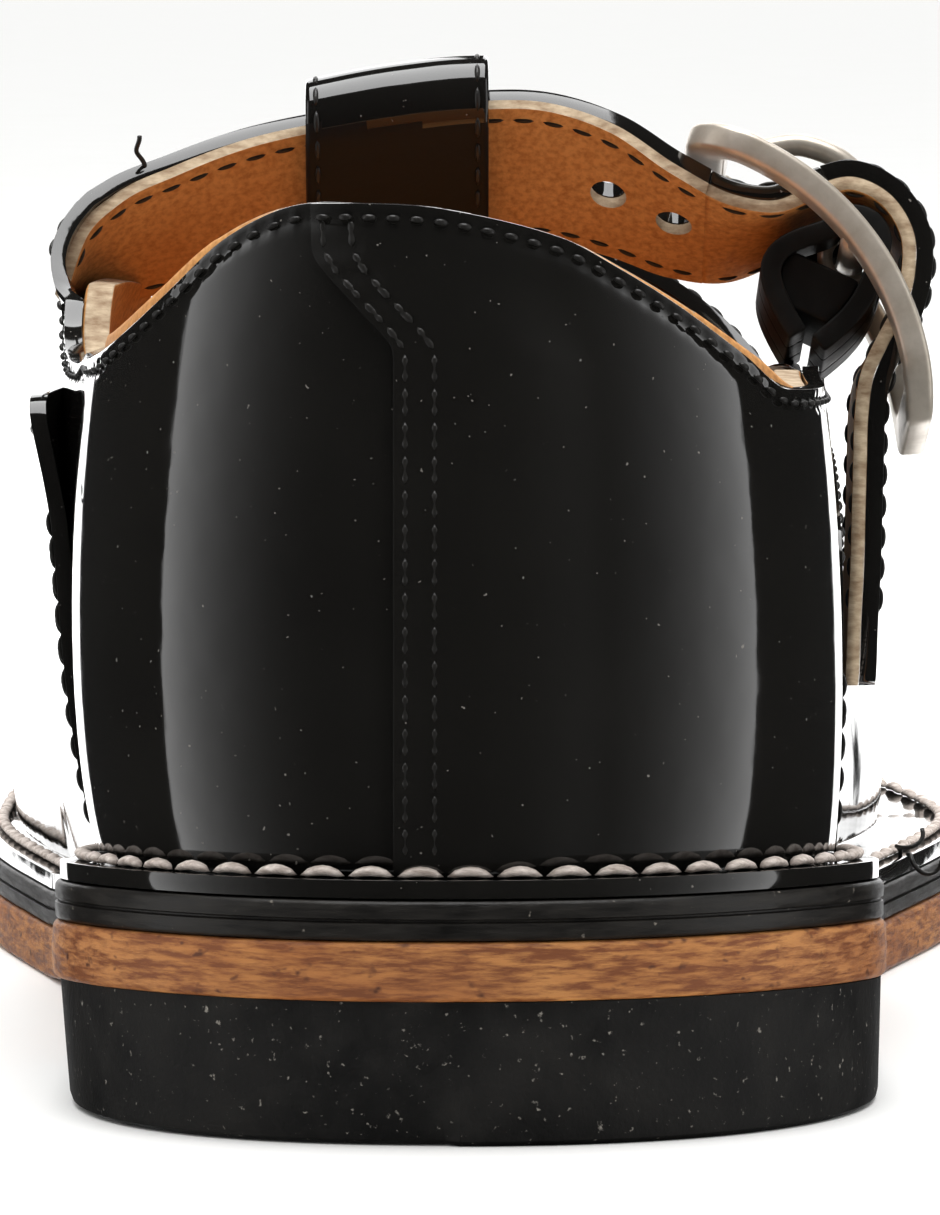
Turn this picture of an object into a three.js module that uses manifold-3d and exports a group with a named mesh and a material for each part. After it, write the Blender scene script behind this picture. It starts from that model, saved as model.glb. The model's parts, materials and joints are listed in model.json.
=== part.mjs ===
// Child's T-bar buckle shoe for the right foot, stitch-down construction.
// Millimetres. +Y runs from heel to toe, +X to the lateral side, +Z up.
// Every piece is first laid out from the back of the heel at y = 0 on the ground
// at z = 0, and the whole group is then moved so that its origin is the middle of its base.
import * as THREE from 'three';
import { mergeVertices } from 'three/addons/utils/BufferGeometryUtils.js';
import Module from 'manifold-3d';

const wasm = await Module();
wasm.setup();

// ---------------------------------------------------------------- driving dimensions

const SOLE = {
  length: 188,
  heelAt: 28,
  ballAt: 143,
  medial: { heel: 27.4, waist: 27.0, waistAt: 68, ball: 38.3 },
  lateral: { heel: 28.5, waist: 28.3, waistAt: 78, ball: 39.8 },
  roundness: 2.2,
  toeShift: -4,
  heelShift: -1,
};
const HEEL_HEIGHT = 9.4;
const HEEL_LENGTH = 46;
const HEEL_TAPER = 1.6;
const BREAST_HOLLOW = 5;
const OUTSOLE_WALL = 3.9;
const MIDSOLE_WALL = 2.45;
const TOE_SPRING = 5;
const BALL_FLAT_FROM = 100;
const BALL_FLAT_TO = 146;

const LAYER_GAP = 0.15;
const SEAM_GAP = 0.3;
const WELT_MARGIN = 3.8;
const WELT_MARGIN_WIDER = 3.6;
const FLANGE_SETBACK = 0.5;
const LINING_WALL = 0.9;
const STIFFENER_WALL = 0.7;
const LEATHER_WALL = 1.2;
const INSOLE_WALL = 1.8;
const SOCK_WALL = 1.0;
const THREAD_RADIUS = 0.55;
const THREAD_INSET = 1.9;

const BACK_HEIGHT = 60.6;
const SIDE_HEIGHT = 48.4;
const TOPLINE_DIP = 47;
const THROAT = { centreY: 84, halfWidth: 16, length: 17, floor: 36.4 };
const WING_AT = 45;
const BACK_SEAM_X = -4.2;
const LINING_SEAM_X = -1;
const LINING_SPLIT_AT = 98;

const STRAP = { width: 12.3, leather: 1.2, lining: 0.9, holeRadius: 1.3 };
const STRAP_HOLES = [[10.5, 59.9], [15.2, 57.8]];
const T_BAR = { width: 13, centre: -4.6, wall: 1.2 };
const BUCKLE = {
  outerRadius: 21.6,
  wall: 1.6,
  halfAngle: 39.8,
  width: 20,
  rail: 3.0,
  endBar: 3.3,
  barRadius: 1.0,
  tilt: 14,
  middleAngle: 39,
};
const BUCKLE_AT = new THREE.Vector3(27.96, 75, 54.7);
const PRONG_RADIUS = 0.8;
const PIVOT_GAP = 0.35;
const CHAPE = { width: 12, wall: 1.2, slot: 4.4, foot: 2.4 };
const NAIL = { radius: 0.8, headRadius: 1.8, headWall: 0.7, recess: 2, length: 7.8, gap: 0.3 };

const STATIONS = 28;
const LEVELS = 9;
const RIM_STEPS = 44;
const LINING_OUT = LINING_WALL;
const STIFFENER_IN = LINING_OUT + LAYER_GAP;
const STIFFENER_OUT = STIFFENER_IN + STIFFENER_WALL;
const LEATHER_IN = STIFFENER_OUT + LAYER_GAP;
const UPPER_WALL = LEATHER_IN + LEATHER_WALL;
const FAR = 200;

// ---------------------------------------------------------------- small helpers

const rad = THREE.MathUtils.degToRad;
const mix = THREE.MathUtils.lerp;

function ease(t) {
  const u = THREE.MathUtils.clamp(t, 0, 1);
  return u * u * (3 - 2 * u);
}

// Smooth curve through [place, value] pairs, flat beyond both ends.
function through(pairs, at) {
  const last = pairs.length - 1;
  if (at <= pairs[0][0]) return pairs[0][1];
  if (at >= pairs[last][0]) return pairs[last][1];
  let i = 0;
  while (at > pairs[i + 1][0]) i += 1;
  const slope = (k) => {
    if (k === 0 || k === last) return 0;
    return (pairs[k + 1][1] - pairs[k - 1][1]) / (pairs[k + 1][0] - pairs[k - 1][0]);
  };
  const step = pairs[i + 1][0] - pairs[i][0];
  const t = (at - pairs[i][0]) / step;
  const rise = pairs[i + 1][1] - pairs[i][1];
  const startSlope = slope(i) * step;
  const endSlope = slope(i + 1) * step;
  return pairs[i][1] + t * startSlope
    + t * t * (3 * rise - 2 * startSlope - endSlope)
    + t * t * t * (startSlope + endSlope - 2 * rise);
}

// A closed solid from a geometry: shared vertices merged, collapsed triangles dropped.
function solid(geometry) {
  const bare = geometry.clone();
  for (const name of Object.keys(bare.attributes)) {
    if (name !== 'position') bare.deleteAttribute(name);
  }
  const merged = mergeVertices(bare, 1e-4);
  const triangles = [];
  const index = merged.index.array;
  for (let i = 0; i < index.length; i += 3) {
    const [a, b, c] = [index[i], index[i + 1], index[i + 2]];
    if (a !== b && b !== c && a !== c) triangles.push(a, b, c);
  }
  const mesh = new wasm.Mesh({
    numProp: 3,
    vertProperties: Float32Array.from(merged.attributes.position.array),
    triVerts: Uint32Array.from(triangles),
  });
  return new wasm.Manifold(mesh);
}

function geometryOf(manifold) {
  const mesh = manifold.getMesh();
  const geometry = new THREE.BufferGeometry();
  geometry.setAttribute('position', new THREE.BufferAttribute(mesh.vertProperties, 3));
  geometry.setIndex(new THREE.BufferAttribute(mesh.triVerts, 1));
  geometry.computeVertexNormals();
  return geometry;
}

// Closed solid from its corner points and the triangles between them.
function solidFrom(points, triangles) {
  const geometry = new THREE.BufferGeometry();
  const positions = points.flatMap((p) => p.toArray());
  geometry.setAttribute('position', new THREE.Float32BufferAttribute(positions, 3));
  geometry.setIndex(triangles);
  return solid(geometry);
}

// Closed solid between two equal grids of points, the first of them outermost.
function slabBetween(outer, inner) {
  const rows = outer.length;
  const columns = outer[0].length;
  const points = [...outer.flat(), ...inner.flat()];
  const far = rows * columns;
  const triangles = [];
  const quad = (a, b, c, d) => triangles.push(a, b, c, a, c, d);
  const at = (i, j) => i * columns + j;
  for (let i = 0; i + 1 < rows; i += 1) {
    for (let j = 0; j + 1 < columns; j += 1) {
      quad(at(i, j), at(i + 1, j), at(i + 1, j + 1), at(i, j + 1));
      quad(far + at(i, j), far + at(i, j + 1), far + at(i + 1, j + 1), far + at(i + 1, j));
    }
    quad(at(i, 0), far + at(i, 0), far + at(i + 1, 0), at(i + 1, 0));
    const end = columns - 1;
    quad(at(i, end), at(i + 1, end), far + at(i + 1, end), far + at(i, end));
  }
  for (let j = 0; j + 1 < columns; j += 1) {
    quad(at(0, j), at(0, j + 1), far + at(0, j + 1), far + at(0, j));
    const end = rows - 1;
    quad(at(end, j), far + at(end, j), far + at(end, j + 1), at(end, j + 1));
  }
  return solidFrom(points, triangles);
}

// Sheet of leather on a grid of points, from one distance to another along its normals.
function sheet(grid, from, to) {
  const rows = grid.length;
  const columns = grid[0].length;
  const normal = (i, j) => {
    const along = grid[Math.min(i + 1, rows - 1)][j].clone().sub(grid[Math.max(i - 1, 0)][j]);
    const across = grid[i][Math.min(j + 1, columns - 1)].clone().sub(grid[i][Math.max(j - 1, 0)]);
    return along.cross(across).normalize();
  };
  const layer = (distance) => grid.map((row, i) => row.map(
    (point, j) => point.clone().addScaledVector(normal(i, j), distance)));
  return slabBetween(layer(to), layer(from));
}

// Shape in the (y, z) plane carried along X between two places.
function prismAcross(points, fromX, toX) {
  const shape = new THREE.Shape(points.map(([y, z]) => new THREE.Vector2(y, z)));
  const geometry = new THREE.ExtrudeGeometry(shape, { depth: toX - fromX, bevelEnabled: false });
  const turn = new THREE.Matrix4().makeBasis(
    new THREE.Vector3(0, 1, 0), new THREE.Vector3(0, 0, 1), new THREE.Vector3(1, 0, 0));
  geometry.applyMatrix4(turn);
  geometry.translate(fromX, 0, 0);
  return solid(geometry);
}

function box(fromX, toX, fromY, toY, fromZ, toZ) {
  const geometry = new THREE.BoxGeometry(toX - fromX, toY - fromY, toZ - fromZ);
  geometry.translate((fromX + toX) / 2, (fromY + toY) / 2, (fromZ + toZ) / 2);
  return solid(geometry);
}

function uprightCylinder(radius, x, y, fromZ, toZ) {
  const geometry = new THREE.CylinderGeometry(radius, radius, toZ - fromZ, 10);
  geometry.rotateX(Math.PI / 2);
  geometry.translate(x, y, (fromZ + toZ) / 2);
  return solid(geometry);
}

// ---------------------------------------------------------------- sole profile

function halfWidth(side, y) {
  const w = side < 0 ? SOLE.medial : SOLE.lateral;
  const p = SOLE.roundness;
  if (y < SOLE.heelAt) {
    const t = (SOLE.heelAt - y) / SOLE.heelAt;
    return w.heel * Math.pow(Math.max(0, 1 - Math.pow(t, p)), 1 / p);
  }
  if (y > SOLE.ballAt) {
    const t = (y - SOLE.ballAt) / (SOLE.length - SOLE.ballAt);
    return w.ball * Math.pow(Math.max(0, 1 - Math.pow(t, p)), 1 / p);
  }
  if (y < w.waistAt) return mix(w.heel, w.waist, ease((y - SOLE.heelAt) / (w.waistAt - SOLE.heelAt)));
  return mix(w.waist, w.ball, ease((y - w.waistAt) / (SOLE.ballAt - w.waistAt)));
}

function soleCentre(y) {
  const heel = SOLE.heelShift * (1 - ease(y / SOLE.heelAt));
  const toe = SOLE.toeShift * ease((y - SOLE.ballAt) / (SOLE.length - SOLE.ballAt));
  return heel + toe;
}

function stationY(u) {
  return SOLE.length * (1 - Math.cos(Math.PI * u)) / 2;
}

function soleRim(side, u) {
  const y = stationY(u);
  return new THREE.Vector2(soleCentre(y) + side * halfWidth(side, y), y);
}

function rimNormal(side, u) {
  if (u <= 0) return new THREE.Vector2(0, -1);
  if (u >= 1) return new THREE.Vector2(0, 1);
  const step = 1e-3;
  const along = soleRim(side, u + step).sub(soleRim(side, u - step)).normalize();
  return new THREE.Vector2(side * along.y, -side * along.x);
}

function rimPoint(side, u, inset) {
  return soleRim(side, u).addScaledVector(rimNormal(side, u), -inset);
}

// How far the foot of the upper stands in from the rim: more on the lateral side of the joint.
function weltMargin(side, y) {
  const wide = side > 0 ? WELT_MARGIN_WIDER : 0;
  return WELT_MARGIN + wide * ease((y - 78) / 44) * (1 - ease((y - 148) / 40));
}

// Underside of the outsole: high at the heel, flat on the ground at the ball, up at the toe.
function outsoleBottom(y) {
  const breast = HEEL_HEIGHT * 0.7;
  const pairs = [[0, HEEL_HEIGHT], [HEEL_LENGTH, breast], [78, 2.4], [BALL_FLAT_FROM, 0],
    [BALL_FLAT_TO, 0], [168, 1.7], [SOLE.length, TOE_SPRING]];
  return Math.max(0, through(pairs, y));
}

const outsoleTop = (y) => outsoleBottom(y) + OUTSOLE_WALL;
const midsoleBottom = (y) => outsoleTop(y) + LAYER_GAP;
const feather = (y) => midsoleBottom(y) + MIDSOLE_WALL;

// Flat layer between two heights over the sole outline, set in at each face by an amount,
// or by a function of the side and the place along the shoe.
function layer(insetTop, insetBottom, top, bottom) {
  const rows = (inset, height) => Array.from({ length: RIM_STEPS + 1 }, (_, k) => {
    const u = k / RIM_STEPS;
    return [-1, 1].map((side) => {
      const p = rimPoint(side, u, typeof inset === 'function' ? inset(side, stationY(u)) : inset);
      return new THREE.Vector3(p.x, p.y, height(p.y));
    });
  });
  const upper = rows(insetTop, top).map((row) => [row[1], row[0]]);
  const lower = rows(insetBottom, bottom).map((row) => [row[1], row[0]]);
  return slabBetween(upper, lower);
}

// ---------------------------------------------------------------- last (foot form)

const RIDGE_PLACE = [[0, 35], [40, 54], [72, 75], [120, 120], [188, 168]];
const RIDGE_HEIGHT = [[35, 92], [54, 85], [66, 75], [75, 66], [84, 59], [100, 50.5], [118, 44],
  [140, 37.8], [155, 34.4], [168, 33.2]];
const RIDGE_X = [[35, -1], [75, -4.6], [101, -4.6], [168, -4]];
const BOXINESS = [[0, 2.2], [40, 2.8], [72, 5], [92, 3.2], [120, 2.5], [188, 2.3]];
const BULGE = {
  medial: [[0, 2.6], [40, 3.4], [76, 6.5], [110, 2.2], [140, 1.5], [188, 1]],
  lateral: [[0, 2.6], [22, 1.2], [76, 0.8], [110, 1], [140, 1.2], [188, 1]],
};
const BULGE_PEAK = [[0, 0.58], [40, 0.7], [76, 1.16], [110, 0.7], [188, 0.6]];

function lastPoint(side, u, level, offset) {
  const y = stationY(u);
  const base = rimPoint(side, u, weltMargin(side, y) + UPPER_WALL - offset);
  const ridgeY = through(RIDGE_PLACE, y);
  const ridge = new THREE.Vector3(through(RIDGE_X, ridgeY), ridgeY, through(RIDGE_HEIGHT, ridgeY) + offset);
  if (level >= 1) return ridge;
  const angle = level * Math.PI / 2;
  const power = 2 / through(BOXINESS, y);
  const rise = Math.pow(Math.sin(angle), power);
  const inward = 1 - Math.pow(Math.cos(angle), power);
  const pairs = side < 0 ? BULGE.medial : BULGE.lateral;
  const middle = through(BULGE.medial, 0);
  const blend = ease(y / SOLE.heelAt);
  const size = mix(middle, through(pairs, y), blend);
  const out = size * Math.sin(Math.PI * Math.pow(rise, through(BULGE_PEAK, y)));
  const normal = rimNormal(side, u);
  const foot = feather(base.y) + LAYER_GAP;
  return new THREE.Vector3(
    mix(base.x, ridge.x, inward) + normal.x * out,
    mix(base.y, ridge.y, inward) + normal.y * out,
    mix(foot, ridge.z, rise));
}

// Solid form of the last at an offset. A flange turns its foot outwards over the welt.
function lastForm(offset, { drop = 0, flange = 0 } = {}) {
  const columnAt = (side, u) => {
    const column = [];
    const foot = lastPoint(side, u, 0, offset);
    if (flange > 0) {
      const rim = rimPoint(side, u, FLANGE_SETBACK);
      const height = feather(rim.y) + LAYER_GAP;
      column.push(new THREE.Vector3(rim.x, rim.y, height));
      column.push(new THREE.Vector3(rim.x, rim.y, height + flange));
      foot.z += flange;
    }
    if (drop > 0) column.push(foot.clone().setZ(foot.z - drop));
    column.push(foot);
    for (let j = 1; j <= LEVELS; j += 1) column.push(lastPoint(side, u, j / LEVELS, offset));
    return column;
  };
  const stations = Array.from({ length: STATIONS + 1 }, (_, k) => k / STATIONS);
  const sides = [-1, 1].map((side) => stations.map((u) => columnAt(side, u)));
  const rows = sides[0][0].length;
  const points = sides.flat(2);
  const at = (side, k, r) => (side * (STATIONS + 1) + k) * rows + r;
  const triangles = [];
  const quad = (a, b, c, d) => triangles.push(a, b, c, a, c, d);
  for (let k = 0; k < STATIONS; k += 1) {
    for (let r = 0; r + 1 < rows; r += 1) {
      quad(at(1, k, r), at(1, k + 1, r), at(1, k + 1, r + 1), at(1, k, r + 1));
      quad(at(0, k, r), at(0, k, r + 1), at(0, k + 1, r + 1), at(0, k + 1, r));
    }
    quad(at(0, k, 0), at(0, k + 1, 0), at(1, k + 1, 0), at(1, k, 0));
  }
  return solidFrom(points, triangles);
}

function wall(inner, outer, flange = 0) {
  return lastForm(outer, { flange }).subtract(lastForm(inner, { drop: 3 }));
}

// ---------------------------------------------------------------- upper patterns

// Topline of the back as seen from behind, [x, z], highest a little to the medial side.
function backTopline() {
  const rise = (share) => mix(SIDE_HEIGHT, BACK_HEIGHT, share);
  return [[-40, rise(-0.05)], [-25, rise(0.1)], [-22.4, rise(0.26)], [-19.3, rise(0.5)],
    [-15.4, rise(0.8)], [-11, rise(0.98)], [-6, rise(1)], [-1, rise(0.97)], [6.4, rise(0.82)],
    [10.3, rise(0.65)], [14.3, rise(0.44)], [18.6, rise(0.17)], [21.5, rise(-0.02)], [40, rise(-0.05)]];
}

// What lies above the topline on one side in front of the back, in the (y, z) plane.
function aboveTopline(side) {
  const start = [[TOPLINE_DIP, FAR], [TOPLINE_DIP, SIDE_HEIGHT]];
  const medial = [[56, SIDE_HEIGHT + 0.5], [61, SIDE_HEIGHT + 1.6], [66, SIDE_HEIGHT + 1.9],
    [79, SIDE_HEIGHT + 1.6], [86, SIDE_HEIGHT - 1.4], [92, SIDE_HEIGHT - 5.6], [97, SIDE_HEIGHT - 7],
    [104, SIDE_HEIGHT - 5]];
  const lateral = [[55, SIDE_HEIGHT - 1], [66, SIDE_HEIGHT - 1.3], [82, SIDE_HEIGHT - 1.8],
    [88, SIDE_HEIGHT - 4.4], [93, SIDE_HEIGHT - 6.4], [97, SIDE_HEIGHT - 7], [104, SIDE_HEIGHT - 5]];
  return [...start, ...(side < 0 ? medial : lateral), [104, FAR]];
}

// The opening of the shoe: all above the topline, at the back and on both sides.
function footOpening() {
  const medial = prismAcross(aboveTopline(-1), -FAR, 0);
  const lateral = prismAcross(aboveTopline(1), 0, FAR);
  const outline = [[-40, FAR], ...backTopline(), [40, FAR]];
  const shape = new THREE.Shape(outline.map(([x, z]) => new THREE.Vector2(x, z)));
  const geometry = new THREE.ExtrudeGeometry(shape, { depth: TOPLINE_DIP + 20, bevelEnabled: false });
  geometry.rotateX(Math.PI / 2);
  geometry.translate(0, TOPLINE_DIP, 0);
  return medial.add(lateral).add(solid(geometry));
}

function throatCutter() {
  const geometry = new THREE.CylinderGeometry(1, 1, FAR, 32);
  geometry.rotateX(Math.PI / 2);
  geometry.scale(THROAT.halfWidth, THROAT.length, 1);
  geometry.translate(T_BAR.centre, THROAT.centreY, THROAT.floor + FAR / 2);
  return solid(geometry);
}

// The vamp with its two wings, as a region in the (y, z) plane.
function vampRegion(gap) {
  return prismAcross([[WING_AT + gap, -10], [WING_AT + gap, 33], [WING_AT + 2.5 + gap, 36.5 - gap],
    [62, 41 - gap], [78, 43.2 - gap], [90, SIDE_HEIGHT - 5.6 - gap], [92 + gap, FAR], [FAR + 60, FAR],
    [FAR + 60, -10]], -FAR, FAR);
}

const leather = wall(LEATHER_IN, UPPER_WALL, LEATHER_WALL).subtract(footOpening());
const lining = wall(0, LINING_OUT).subtract(footOpening());
const stiffener = wall(STIFFENER_IN, STIFFENER_OUT);
const throat = throatCutter();

function vamp() {
  return leather.intersect(vampRegion(SEAM_GAP)).subtract(throat);
}

function quarter(side) {
  const seam = side < 0
    ? box(-FAR, BACK_SEAM_X - SEAM_GAP / 2, -FAR, FAR, -FAR, FAR)
    : box(BACK_SEAM_X + SEAM_GAP / 2, FAR, -FAR, FAR, -FAR, FAR);
  return leather.subtract(vampRegion(0)).intersect(seam);
}

function quarterLining(side) {
  const seam = side < 0
    ? box(-FAR, LINING_SEAM_X - SEAM_GAP / 2, -FAR, LINING_SPLIT_AT - SEAM_GAP, -FAR, FAR)
    : box(LINING_SEAM_X + SEAM_GAP / 2, FAR, -FAR, LINING_SPLIT_AT - SEAM_GAP, -FAR, FAR);
  return lining.intersect(seam).subtract(throat);
}

function vampLining() {
  return lining.intersect(box(-FAR, FAR, LINING_SPLIT_AT, FAR, -FAR, FAR)).subtract(throat);
}

function heelCounter() {
  const shape = prismAcross([[-20, -20], [-20, 42], [8, 42], [30, 36], [42, 24], [45, 14], [45, -20]],
    -FAR, FAR);
  return stiffener.intersect(shape);
}

function toePuff() {
  const shape = prismAcross([[150, -20], [150, 28], [154, 60], [230, 60], [230, -20]], -FAR, FAR);
  return stiffener.intersect(shape);
}

// ---------------------------------------------------------------- strap, T-bar, chape

// Middle line of the instep strap from the medial side wall over the instep, over the
// buckle's bar and under its lower end: [x, y, z, tilt of its width in degrees].
const STRAP_PATH = [
  [-29.2, 72.4, 50.7, 1], [-28.6, 72.5, 52.7, 10], [-27.4, 72.8, 54.4, 24], [-24.8, 73.6, 55.8, 36],
  [-20.6, 74.3, 57.2, 43], [-15.5, 74.8, 58.7, 48], [-10, 75, 59.8, 50], [-4.6, 75, 60.7, 50],
  [1, 75, 61.3, 50], [6, 75, 61.2, 50], [11, 75.1, 59.8, 47], [15.5, 75.4, 57.6, 38],
  [19.5, 75.6, 56.5, 28], [22.2, 75.7, 56.9, 20], [24.9, 75.9, 58.4, 15], [27.9, 76, 59.2, 14],
  [30.6, 75.8, 58.0, 13], [32.2, 75.2, 55.6, 11], [32.3, 74.6, 53.0, 10], [31.6, 74, 50.4, 8],
  [30.2, 73.5, 47.8, 7], [29.3, 73.1, 46, 5], [28.9, 72.6, 43.6, 2], [28.8, 72.4, 40.8, 0],
];
// The free end below the buckle, cut round at its tip.
const TAIL_PATH = [
  [28.8, 72.4, 40.5, 0], [28.7, 72.3, 37, 0], [28.6, 72.2, 33, 0], [28.5, 72.2, 30, 0],
  [28.4, 72.2, 27.6, 0], [28.4, 72.2, 25.9, 0], [28.4, 72.2, 24.8, 0], [28.4, 72.2, 24.2, 0],
];

function ribbon(path, widthAt, columns = 3) {
  return path.map(([x, y, z, tilt], i) => {
    const across = new THREE.Vector3(0, Math.cos(rad(tilt)), -Math.sin(rad(tilt)));
    return Array.from({ length: columns + 1 }, (_, j) => {
      const place = widthAt(i) * (j / columns - 0.5);
      return new THREE.Vector3(x, y, z).addScaledVector(across, place);
    });
  });
}

const strapWidth = () => STRAP.width;
const tailWidth = (i) => {
  const left = TAIL_PATH[i][2] - TAIL_PATH[TAIL_PATH.length - 1][2];
  return STRAP.width * Math.sqrt(Math.min(1, (left + 0.6) / 6));
};

// A hole punched square through the strap at a point of its path.
function strapHole(x, z) {
  const geometry = new THREE.CylinderGeometry(STRAP.holeRadius, STRAP.holeRadius, 14, 10);
  const strapLean = 43;
  geometry.rotateX(rad(strapLean));
  geometry.translate(x, BUCKLE_AT.y, z);
  return solid(geometry);
}

function punched(piece) {
  return STRAP_HOLES.reduce((body, [x, z]) => body.subtract(strapHole(x, z)), piece.subtract(prongSlot()));
}

// The slot that the prong comes up through, in line with the buckle.
function prongSlot() {
  const half = PRONG_RADIUS + 0.6;
  return solid(placed(box(-6, 9, -half, half, -2.2, 6)));
}

const strapGrid = ribbon(STRAP_PATH, strapWidth);
const tailGrid = ribbon(TAIL_PATH, tailWidth);

function instepStrap() {
  return punched(sheet(strapGrid, 0, STRAP.leather));
}

function strapLining() {
  return punched(sheet(strapGrid, -LAYER_GAP - STRAP.lining, -LAYER_GAP));
}

function tail(from, to) {
  return sheet(tailGrid, from, to);
}

// Height of the strap's middle line over the T-bar's own middle.
function strapRise(x) {
  const pairs = STRAP_PATH.map(([px, , pz]) => [px, pz]);
  return through(pairs, x) - through(pairs, T_BAR.centre);
}

// The T-bar in the (y, z) plane: up from the throat, over the strap, round its rear
// edge and back inside to its own underside.
const T_BAR_PATH = [
  [100.4, 52.6], [95, 54.6], [88, 57.2], [83.4, 59.0], [80.9, 60.2], [77.6, 63.2], [74.7, 66.2],
  [72.4, 67.7], [70.2, 68], [68.5, 66.8], [68, 64.9], [69.3, 62.6], [73, 58], [76.6, 54],
  [80.4, 52.9], [84, 54.2], [88, 54.2],
];

function tBar() {
  const columns = 4;
  const grid = T_BAR_PATH.map(([y, z]) => Array.from({ length: columns + 1 }, (_, j) => {
    const x = T_BAR.centre + T_BAR.width * (j / columns - 0.5);
    const follow = 1 - ease((y - 84) / 14);
    return new THREE.Vector3(x, y, z + follow * strapRise(x));
  }));
  return sheet(grid, -T_BAR.wall / 2, T_BAR.wall / 2);
}

// Turns a point given in the buckle's own frame, X radial outwards at the bar, Z along
// the arc towards the medial end and Y across the shoe's length, into the shoe's frame.
function buckleFrame() {
  const out = new THREE.Vector3(Math.cos(rad(BUCKLE.middleAngle)), 0, Math.sin(rad(BUCKLE.middleAngle)));
  const width = new THREE.Vector3(0, Math.cos(rad(BUCKLE.tilt)), -Math.sin(rad(BUCKLE.tilt)));
  const along = out.clone().cross(width).normalize();
  const trueOut = width.clone().cross(along).normalize();
  return new THREE.Matrix4().makeBasis(trueOut, width, along).setPosition(BUCKLE_AT);
}

const buckleMatrix = buckleFrame();
const barCircle = BUCKLE.outerRadius - BUCKLE.wall / 2;

// Curved plate between two radii and two angles of the buckle's arc, about the arc's centre.
function arcPlate(inner, outer, fromDeg, toDeg, fromY, toY) {
  const shape = new THREE.Shape();
  shape.absarc(0, 0, outer, rad(fromDeg), rad(toDeg), false);
  shape.absarc(0, 0, inner, rad(toDeg), rad(fromDeg), true);
  const geometry = new THREE.ExtrudeGeometry(shape, {
    depth: toY - fromY, bevelEnabled: false, curveSegments: 12,
  });
  geometry.rotateX(Math.PI / 2);
  geometry.translate(-barCircle, toY, 0);
  return solid(geometry);
}

function buckleFramePlate() {
  const half = BUCKLE.width / 2;
  const open = half - BUCKLE.rail;
  const endAngle = BUCKLE.halfAngle - THREE.MathUtils.radToDeg(BUCKLE.endBar / barCircle);
  const inner = BUCKLE.outerRadius - BUCKLE.wall;
  const plate = arcPlate(inner, BUCKLE.outerRadius, -BUCKLE.halfAngle, BUCKLE.halfAngle, -half, half);
  const window = arcPlate(inner - 2, BUCKLE.outerRadius + 2, -endAngle, endAngle, -open, open);
  const bar = new THREE.CylinderGeometry(BUCKLE.barRadius, BUCKLE.barRadius, 2 * open + 1.6, 12);
  const ring = plate.subtract(window).add(solid(bar));
  return ring.subtract(cornerCutters(endAngle, half, inner));
}

// Rounds the four corners of the buckle's outline.
function cornerCutters(endAngle, half, inner) {
  const radius = 4;
  const reach = barCircle * rad(BUCKLE.halfAngle);
  const angleOf = (length) => THREE.MathUtils.radToDeg(length / barCircle);
  let cutters = null;
  for (const end of [-1, 1]) {
    for (const edge of [-1, 1]) {
      const steps = 5;
      for (let i = 0; i < steps; i += 1) {
        const turn = (i + 0.5) / steps * Math.PI / 2;
        const along = reach - radius + radius * Math.sin(turn + Math.PI / 4 / steps);
        const across = half - radius + radius * Math.cos(turn + Math.PI / 4 / steps);
        const [a, b] = [angleOf(along), angleOf(reach + 1)];
        const [from, to] = end > 0 ? [a, b] : [-b, -a];
        const [low, high] = edge > 0 ? [across, half + 1] : [-half - 1, -across];
        const piece = arcPlate(inner - 1, BUCKLE.outerRadius + 1, from, to, low, high);
        cutters = cutters ? cutters.add(piece) : piece;
      }
    }
  }
  return cutters;
}

function placed(manifold) {
  const geometry = geometryOf(manifold);
  geometry.applyMatrix4(buckleMatrix);
  return geometry;
}

// Round rod along points of the buckle's own (X, Z) plane.
function rodAlong(points, radius, steps) {
  const curve = new THREE.CatmullRomCurve3(points.map(([x, z]) => new THREE.Vector3(x, 0, z)));
  const ring = new THREE.Shape();
  ring.absarc(0, 0, radius, 0, Math.PI * 2);
  return solid(new THREE.ExtrudeGeometry(ring, {
    steps, extrudePath: curve, bevelEnabled: false, curveSegments: 4,
  }));
}

function ringRoundBar(inner, outer, fromY, toY) {
  const profile = [[inner, fromY], [outer, fromY], [outer, toY], [inner, toY], [inner, fromY]];
  const geometry = new THREE.LatheGeometry(profile.map(([r, y]) => new THREE.Vector2(r, y)), 16);
  return solid(geometry);
}

function bucklePin() {
  const inner = BUCKLE.barRadius + PIVOT_GAP;
  const outer = inner + 1.1;
  const eye = ringRoundBar(inner, outer, -1.2, 1.2);
  const reach = barCircle * Math.sin(rad(BUCKLE.halfAngle));
  const drop = barCircle * (1 - Math.cos(rad(BUCKLE.halfAngle)));
  const over = BUCKLE.wall / 2 + 0.35 + PRONG_RADIUS;
  const rod = rodAlong([[outer - 0.5, 0.6], [outer + 1.2, 2.6], [outer + 1.6, 5.4], [2.6, 8.4],
    [over - drop + 1.4, reach - 2], [over - drop + 0.4, reach + 0.6]], PRONG_RADIUS, 14);
  return eye.add(rod);
}

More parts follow.
